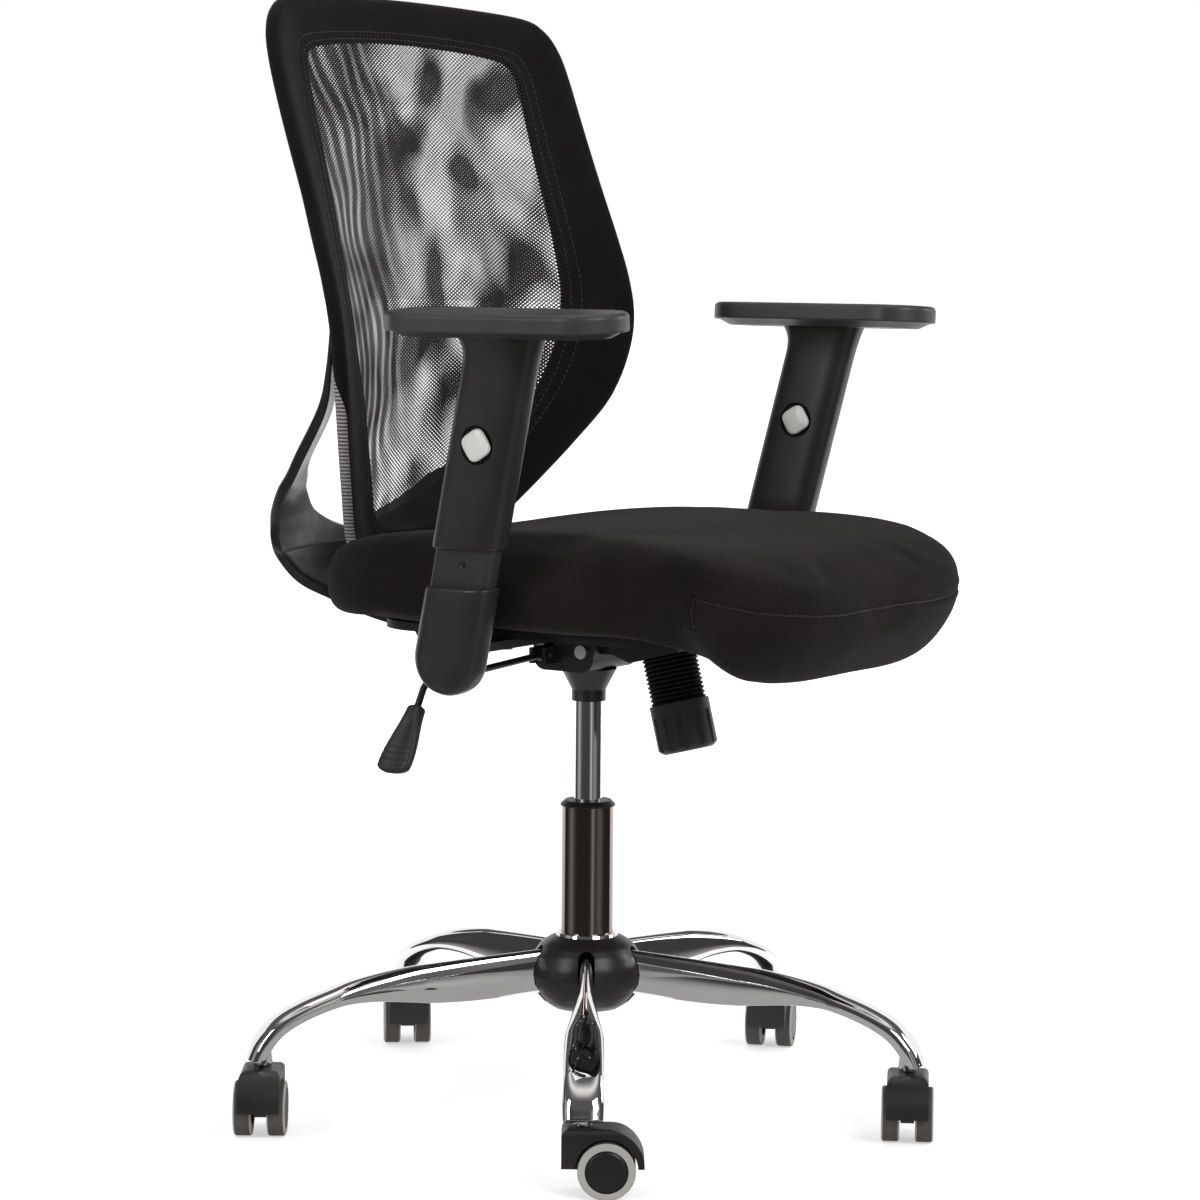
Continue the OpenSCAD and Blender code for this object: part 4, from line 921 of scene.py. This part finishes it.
arm_x, arm_y, arm_z, arm_lean, arm_splay = 278, -74, 660, 13.4, 3.1
sleeve_rim, boot_rim, boot_centre, pad_t = 565.5, 531, -199, 23
pad_place = (281, -94, 777)
sleeve_x, sleeve_y, flare_from, boot_x, boot_y = 17, 35, 56, 18.5, 34


def arm_matrix(side):
    """An arm's own frame: z runs up the leaning post, x points sideways."""
    return (Matrix.Translation((side * arm_x, arm_y, arm_z))
            @ Matrix.Rotation(radians(arm_lean), 4, "X")
            @ Matrix.Rotation(radians(side * arm_splay), 4, "Y"))


def on_plane(matrix, x, y, point, normal):
    """Height in an arm's frame at which the line through (x, y) meets a plane of the frame."""
    start = matrix @ Vector((x, y, 0))
    along = (matrix @ Vector((x, y, 1))) - start
    return normal.dot(point - start) / normal.dot(along)


def oval(a, b, shape, turns=72):
    """Rounded rectangle as a superellipse: half sizes a and b."""
    return [(a * power(c, shape), b * power(s, shape)) for c, s in circle(turns)]


def to_frame(matrix, points):
    """Points in millimetres in a piece's own frame, brought to the model's frame in metres."""
    return [tuple(c * MM for c in matrix @ Vector(p)) for p in points]


def level_rings(matrix, stations, half_x, half_y, squareness, rim, lowest=-inf):
    """Rings round an arm, level with the floor: [height over the rim, inset] for each station."""
    rings = []
    for lift, inset in stations:
        ring = []
        for x, y in oval(half_x - inset, half_y - inset, squareness):
            z = on_plane(matrix, x, y, Vector((0, 0, rim)), up) + lift
            ring.append((x, y, max(z, lowest)))
        rings.append(to_frame(matrix, ring))
    return rings


def sleeve_piece(side):
    """Height sleeve: level rim below, a flare under the pad, and a round well for the button."""
    matrix, word = arm_matrix(side), word_of(side)
    tilt = Matrix.Rotation(radians(side * arm_splay), 3, "Y") @ up
    under_pad = Vector((side * pad_place[0], *pad_place[1:])) - tilt * pad_t
    stations = [(0, 2.2), (0.6, 1.0), (1.6, 0.3), (3, 0)]
    stations += [(3 + 17 * k, 0) for k in range(1, 9)]
    rings = level_rings(matrix, stations, sleeve_x, sleeve_y, 0.6, sleeve_rim)
    flare_steps = 24
    for k in range(flare_steps + 1):
        s, ring = k / flare_steps, []
        flare = s ** 3.2
        for x, y in oval(sleeve_x + 3.5 * flare, sleeve_y + 7 * flare, 0.6 + 0.05 * flare):
            top = on_plane(matrix, x, y, under_pad, tilt)
            ring.append((x, y + 4 * flare, flare_from + (top - flare_from) * s))
        rings.append(to_frame(matrix, ring))
    sleeve = make(word + "_sleeve_shell", loft(rings), word + "_arm", "arm_plastic",
                  node=word + "_arm_sleeve")
    well = [(0.0, 12.3), (14.6, 12.3), (16.2, 13.2), (17.2, 15.5), (17.6, 17.6), (17.6, 30), (0, 30)]
    cutter = make("cutter", loft(lathe(well, lambda x, y, z: tuple(
        c * MM for c in matrix @ Vector((-z, y, x))), 48), caps=False), word + "_arm")
    cut = sleeve.modifiers.new("well", "BOOLEAN")
    cut.operation, cut.object, cut.solver = "DIFFERENCE", cutter, "EXACT"
    apply_modifiers(sleeve)
    bpy.data.objects.remove(cutter)
    sharpen(sleeve, 35)


def button_piece(side):
    """Rounded square knob on its corner, with a domed face."""
    matrix, word = arm_matrix(side), word_of(side)
    diagonal = sqrt(0.5)
    rings = []
    for x, size in ((15.5, 12.6), (18.2, 12.6), (19.2, 12.2), (19.9, 11.2), (20.5, 9.4),
                    (20.9, 6.6), (21.1, 3.2), (21.15, 0.4)):
        ring = [((u - v) * diagonal, (u + v) * diagonal) for u, v in oval(size, size, 0.55, 48)]
        rings.append(to_frame(matrix, [(-x, u, v) for u, v in ring]))
    make(word + "_button_cap", loft(rings), word + "_button", "button_silver", sharp=60,
         node=word + "_arm_button")


def boot_piece(side):
    """Boot that holds the post: level rim above, rounded toe below."""
    matrix, word = arm_matrix(side), word_of(side)
    squareness, toe_steps, toe_turn = 0.62, 21, 88.5
    stations = ((0, 2.0), (-0.5, 0.9), (-1.5, 0.2), (-3, 0), (-20, 0), (-36, 0))
    rings = level_rings(matrix, stations, boot_x, boot_y, squareness, boot_rim, boot_centre + 4)
    for k in range(toe_steps + 1):
        q = radians(toe_turn * k / toe_steps)
        depth = boot_y * cos(q)
        thick = boot_x * (1 - 0.8 * (1 - cos(q)) ** 1.6)
        rings.append(to_frame(matrix, [(x, y, boot_centre - boot_y * sin(q))
                                       for x, y in oval(thick, depth, squareness)]))
    make(word + "_boot_shell", loft(rings), "seat", "arm_plastic", sharp=50,
         node=word + "_arm_boot")


def dimple_piece(side):
    """Small screw recess in the post's outer face, in a darker plastic that paints the shade inside it.
    """
    profile = [(0, -0.1), (1.3, -0.1), (1.9, 0.25), (2.2, 0.3), (2.5, 0.2), (2.6, -0.3), (0, -0.3)]
    face_x, at_y, at_z = 283.4, -51, 552
    rings = lathe(profile, lambda x, y, z: (side * (face_x + z) * MM, (y + at_y) * MM,
                                            (x + at_z) * MM), 32)
    # The recess takes the darker wheel-cap plastic: painted shade.
    make(word_of(side) + "_post_dimple", loft(rings, caps=False), "seat", "post_plastic",
         M["wheel_nylon"])


for side in (-1, 1):
    dimple_piece(side)
    sleeve_piece(side)
    button_piece(side)
    boot_piece(side)

lever_hinge, lever_droop, lever_run, lever_inside = (-51, 20, 446), 2.8, 183, 38
lever_bend_r, lever_bend, lever_tail, lever_r = 12, 57, 16, 3.25
lever_matrix = (Matrix.Translation(lever_hinge) @ Matrix.Rotation(pi, 4, "Z")
                @ Matrix.Rotation(radians(lever_droop), 4, "Y"))
bend = radians(lever_bend)
paddle_matrix = (lever_matrix @ Matrix.Translation((lever_run + lever_bend_r * sin(bend), 0,
                                                    -lever_bend_r * (1 - cos(bend))))
                 @ Matrix.Rotation(bend, 4, "Y"))


def lever_piece():
    """Bent round rod with its hinge eye; the path is [x, z, slope] in the lever's own frame."""
    path = [(-lever_inside + (lever_run + lever_inside) * k / 20, 0, 0) for k in range(21)]
    path += [(lever_run + lever_bend_r * sin(bend * k / 12),
              -lever_bend_r * (1 - cos(bend * k / 12)), bend * k / 12) for k in range(1, 13)]
    x, z, _ = path[-1]
    path += [(x + d * cos(bend), z - d * sin(bend), bend) for d in (8, 16, 24, 31)]
    rings = []
    for x, z, a in path:
        rings.append(to_frame(lever_matrix, [
            (x + lever_r * c * sin(a), lever_r * s, z + lever_r * c * cos(a)) for c, s in circle(24)]))
    eye = lathe([(2.1, -4.5), (5.6, -4.5), (6, -4.1), (6, 4.1), (5.6, 4.5), (2.1, 4.5)],
                placed(lever_matrix, (0, 2, 1)), 32)
    make("lever_wire", join_parts([loft(rings), loft(eye, closed=True)]), "lever", "black_steel",
         sharp=50, node="lever_rod")


def paddle_piece():
    """Grip that widens to its end, with a scooped face and finger ribs."""
    length, flare, steps, ribs, rings = 66, 5, 60, 11, []
    for k in range(steps + 1):
        s = k / steps
        x = lever_tail + length * s
        wide = 8 + 9 * float(ease(s * 1.15)) + 0.8 * sin(pi * s)
        thick = 6 - 1.2 * s
        rounding = sqrt(max(1 - (max(s - 0.9, 0) / 0.1) ** 2 * 0.85, 0.02))
        start = sqrt(max(1 - (max(0.05 - s, 0) / 0.05) ** 2 * 0.6, 0.05))
        rib = 0.45 * sin(2 * pi * s * ribs) * float(ease((s - 0.55) * 8)) * (s < 0.93)
        ring = []
        for u, v in oval(wide * rounding * start, (thick + rib) * rounding * start, 0.55, 56):
            scoop = 1.6 * float(ease((s - 0.12) * 5)) * exp(-(u / (0.55 * wide)) ** 2) * (v > 0)
            ring.append((x, u - flare * s, v - scoop))
        rings.append(to_frame(paddle_matrix, ring))
    make("lever_grip", loft(rings), "lever", "knob_plastic", node="lever_paddle")


lever_piece()
paddle_piece()


# ---- tension spring and bellows

bolt_matrix = (Matrix.Translation((0, -102, 405)) @ Matrix.Rotation(radians(-14.5), 4, "X"))
bellows_low, bellows_high, folds, per_fold = -5, 45, 12, 10
bellows_r, fold_depth, bellows_inside = 24.3, 2.2, 22.5


def squashed(piece):
    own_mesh(piece)


def bellows_piece():
    """Pleated rubber sleeve round the spring."""
    profile = []
    steps = folds * per_fold
    for k in range(steps + 1):
        wave = 0.5 - 0.5 * cos(2 * pi * folds * k / steps)
        profile.append((bellows_r + fold_depth * wave ** 0.7,
                        bellows_low + (bellows_high - bellows_low) * k / steps))
    profile += [(bellows_inside, bellows_high), (bellows_inside, bellows_low)]
    rings = lathe(profile, placed(bolt_matrix), 72)
    squashed(make("spring_bellows", loft(rings, closed=True), "lift", "black_rubber", sharp=70,
                  node="tension_bellows"))


def spring_piece():
    """Coil of round wire that fills the bellows' height, clear of both ends."""
    turns, wire, radius, clear, per_turn = 5, 2, 15, 0.2, 40
    low = bellows_low + wire + clear
    rise = bellows_high - bellows_low - 2 * (wire + clear)
    rings = []
    for k in range(turns * per_turn + 1):
        a = 2 * pi * k / per_turn
        z = low + rise * k / (turns * per_turn)
        rings.append(to_frame(bolt_matrix, [
            ((radius + wire * c) * cos(a), (radius + wire * c) * sin(a), z + wire * s)
            for c, s in circle(12)]))
    squashed(make("coil_spring", loft(rings), "lift", "spring_steel", node="tension_spring"))


bellows_piece()
spring_piece()


# ---- caster treads

caster_dir = [303.3, 208, 23, 38, 213.3]
running_below = 0.45


def tread_piece(i, word):
    """Tread with a pale side wall and a running face painted dark brown as shade, told apart by how far
    they face the axle.
    """
    turn = radians(caster_dir[i - 1])
    axle = Vector((-sin(turn), cos(turn), 0))
    wheel = f"caster_{i}_{word}"
    tread = copy_node(wheel + "_tread", wheel + "_tyre", wheel, "grey_tread", sharp=50)
    tread.data.materials.append(painted_shade_tread_look)
    # Faces that run across the axle get the running face's painted shade.
    for face in tread.data.polygons:
        face.material_index = 1 if abs(face.normal.dot(axle)) < running_below else 0


for i in range(1, 6):
    for word in ("left", "right"):
        tread_piece(i, word)


# ---- floor, light and camera

def stage_mesh(name, verts, faces, material):
    """A mesh of the stage, added to the scene and attached to no body of the object."""
    mesh = bpy.data.meshes.new(name)
    mesh.from_pydata(verts, [], faces)
    mesh.materials.append(material)
    obj = add_object(name, mesh)
    return obj


def floor_material():
    """Pale paper that keeps the shadow near the object and glows to plain white further out."""
    s = Shade("floor_paper", (0.93, 0.93, 0.93), 0.9, specular=0.1)
    s.bsdf.inputs["Emission Color"].default_value = (1, 1, 1, 1)
    glow = s.spread(s.vector("LENGTH", s.coord, output="Value"), 0.5, 1.0, 0.9, 3.0)
    s.link(s.math("MULTIPLY", s.mirror_rays(), glow), s.bsdf.inputs["Emission Strength"])
    return s.mat


floor_half = 40
corners = [(x * floor_half, y * floor_half, 0) for x, y in ((-1, -1), (1, -1), (1, 1), (-1, 1))]
stage_mesh("floor", corners, [(0, 1, 2, 3)], floor_material())

# Glowing strips on the cards, which show in the chrome as painted highlights: brightness, degrees from
# the camera's side, width in degrees
card_dark, card_strips = 0.05, ((0.5, 23, 7), (0.35, -76, 14), (0.22, 54, 15))
card_side, card_reach, card_steps, wall_top = 213.3, 120, 240, 2.5
card_near, dome_dark, dome_light = 0.4, 0.1, 0.8
# The cards' outline as [radius, height]: a floor card, a low wall, and a dome above
card_profile = [
    (0.05, 0.002), (0.3, 0.002), (0.45, 0.002), (0.6, 0.002), (0.75, 0.002), (0.9, 0.002),
    (4.6, 0.002), (4.6, 2.4), (4.5, 2.8), (4.1, 3.4), (3.6, 3.9), (3.1, 4.2), (2.7, 4.4),
    (2.4, 4.55), (2.0, 4.7), (1.5, 4.85), (1.0, 4.95), (0.4, 5.0)]


def card_tone(turn, radius, height):
    """Glow of the cards, which shows only in reflections: dark, with soft light strips and a paler floor
    card near the object, all painted reflections.
    """
    if height > wall_top:
        return dome_dark + dome_light * exp(-((height - 4.5) / 0.22) ** 2)
    tone = card_dark + sum(light * exp(-((turn - at) / wide) ** 2)
                           for light, at, wide in card_strips)
    near = 1 - float(ease((radius - 0.35) / 0.5))
    return tone + (card_near - tone) * near


def cards():
    """Dark glowing cards that only reflections see: painted reflections of a studio's dark surroundings,
    which chrome shows.

    The floor card and the wall stand on the camera's side, the dome goes all round."""
    mat = bpy.data.materials.new("card_look")
    mat.use_nodes = True
    new = Nodes(mat.node_tree)
    new.tree.nodes.remove(new.tree.nodes["Principled BSDF"])
    glow = new.add("ShaderNodeEmission")
    tone = new.add("ShaderNodeAttribute", attribute_name="tone")
    new.link(tone.outputs["Color"], glow.inputs["Color"])
    new.link(glow.outputs[0], new.tree.nodes["Material Output"].inputs["Surface"])
    n = len(card_profile)
    verts, faces, tones = [], [], []
    for k in range(card_steps + 1):
        turn = 180 * (2 * k / card_steps - 1)
        a = radians(card_side + turn)
        for r, z in card_profile:
            verts.append((r * cos(a), r * sin(a), z))
            tones.append(card_tone(turn, r, z))
        if k:
            faces += [(n * (k - 1) + j, n * k + j, n * k + j + 1, n * (k - 1) + j + 1)
                      for j in range(n - 1) if abs(turn) <= card_reach or card_profile[j][1] > 2]
    wall = stage_mesh("cards", verts, faces, mat)
    layer = wall.data.color_attributes.new("tone", "FLOAT_COLOR", "POINT")
    for item, value in zip(layer.data, tones):
        item.color = (value, value * 0.97, value * 0.95, 1)
    for flag in ("camera", "diffuse", "shadow", "transmission", "volume_scatter"):
        setattr(wall, "visible_" + flag, False)


cards()


def lamp(name, place, target, size, tall, energy):
    """Rectangular soft box that points at a target."""
    data = bpy.data.lights.new(name, "AREA")
    data.energy, data.shape, data.size, data.size_y = energy, "RECTANGLE", size, tall
    obj = add_object(name, data)
    obj.location = place
    obj.rotation_euler = (Vector(target) - Vector(place)).to_track_quat("-Z", "Y").to_euler()


lamp("key_box", (-1.2, -3.4, 2.6), (0, 0, 0.6), 1.7, 1.7, 60)
lamp("side_box", (-3.3, 0.9, 1.9), (0, 0, 0.7), 0.9, 1.9, 34)
lamp("fill_box", (2.6, -2.4, 1.7), (0, 0, 0.6), 1.2, 1.6, 26)
lamp("top_box", (0.3, 0.4, 3.4), (0, 0, 0.5), 2.2, 2.2, 14)


def white_world():
    """White where it is seen or mirrored, and dimmer where it lights the object."""
    world = bpy.data.worlds.new("studio")
    world.use_nodes = True
    bpy.context.scene.world = world
    new = Nodes(world.node_tree)
    sky = new.tree.nodes["Background"]
    sky.inputs["Color"].default_value = (1, 1, 1, 1)
    new.link(new.spread(new.mirror_rays(), 0.42, 1.0, 0, 1), sky.inputs["Strength"])


def photo_camera():
    """The camera at the photograph's viewing angle, solved from the five stems and the column."""
    azimuth, pitch, roll = (radians(a) for a in (56.713, 5.6908, 0.4377))
    distance, height = 3.40685, 0.8349
    camera = add_object("camera", bpy.data.cameras.new("camera"))
    bpy.context.scene.camera = camera
    camera.data.sensor_width = 36
    camera.data.lens = 107.163
    camera.data.shift_x = 0.00878
    camera.data.clip_end = 200
    camera.location = (-distance * sin(azimuth), -distance * cos(azimuth), height)
    look = Vector((sin(azimuth) * cos(pitch), cos(azimuth) * cos(pitch), -sin(pitch)))
    camera.rotation_mode = "QUATERNION"
    camera.rotation_quaternion = look.to_track_quat("-Z", "Y") @ Quaternion((0, 0, 1), roll)


white_world()
photo_camera()
bpy.context.scene.view_settings.view_transform = "Standard"
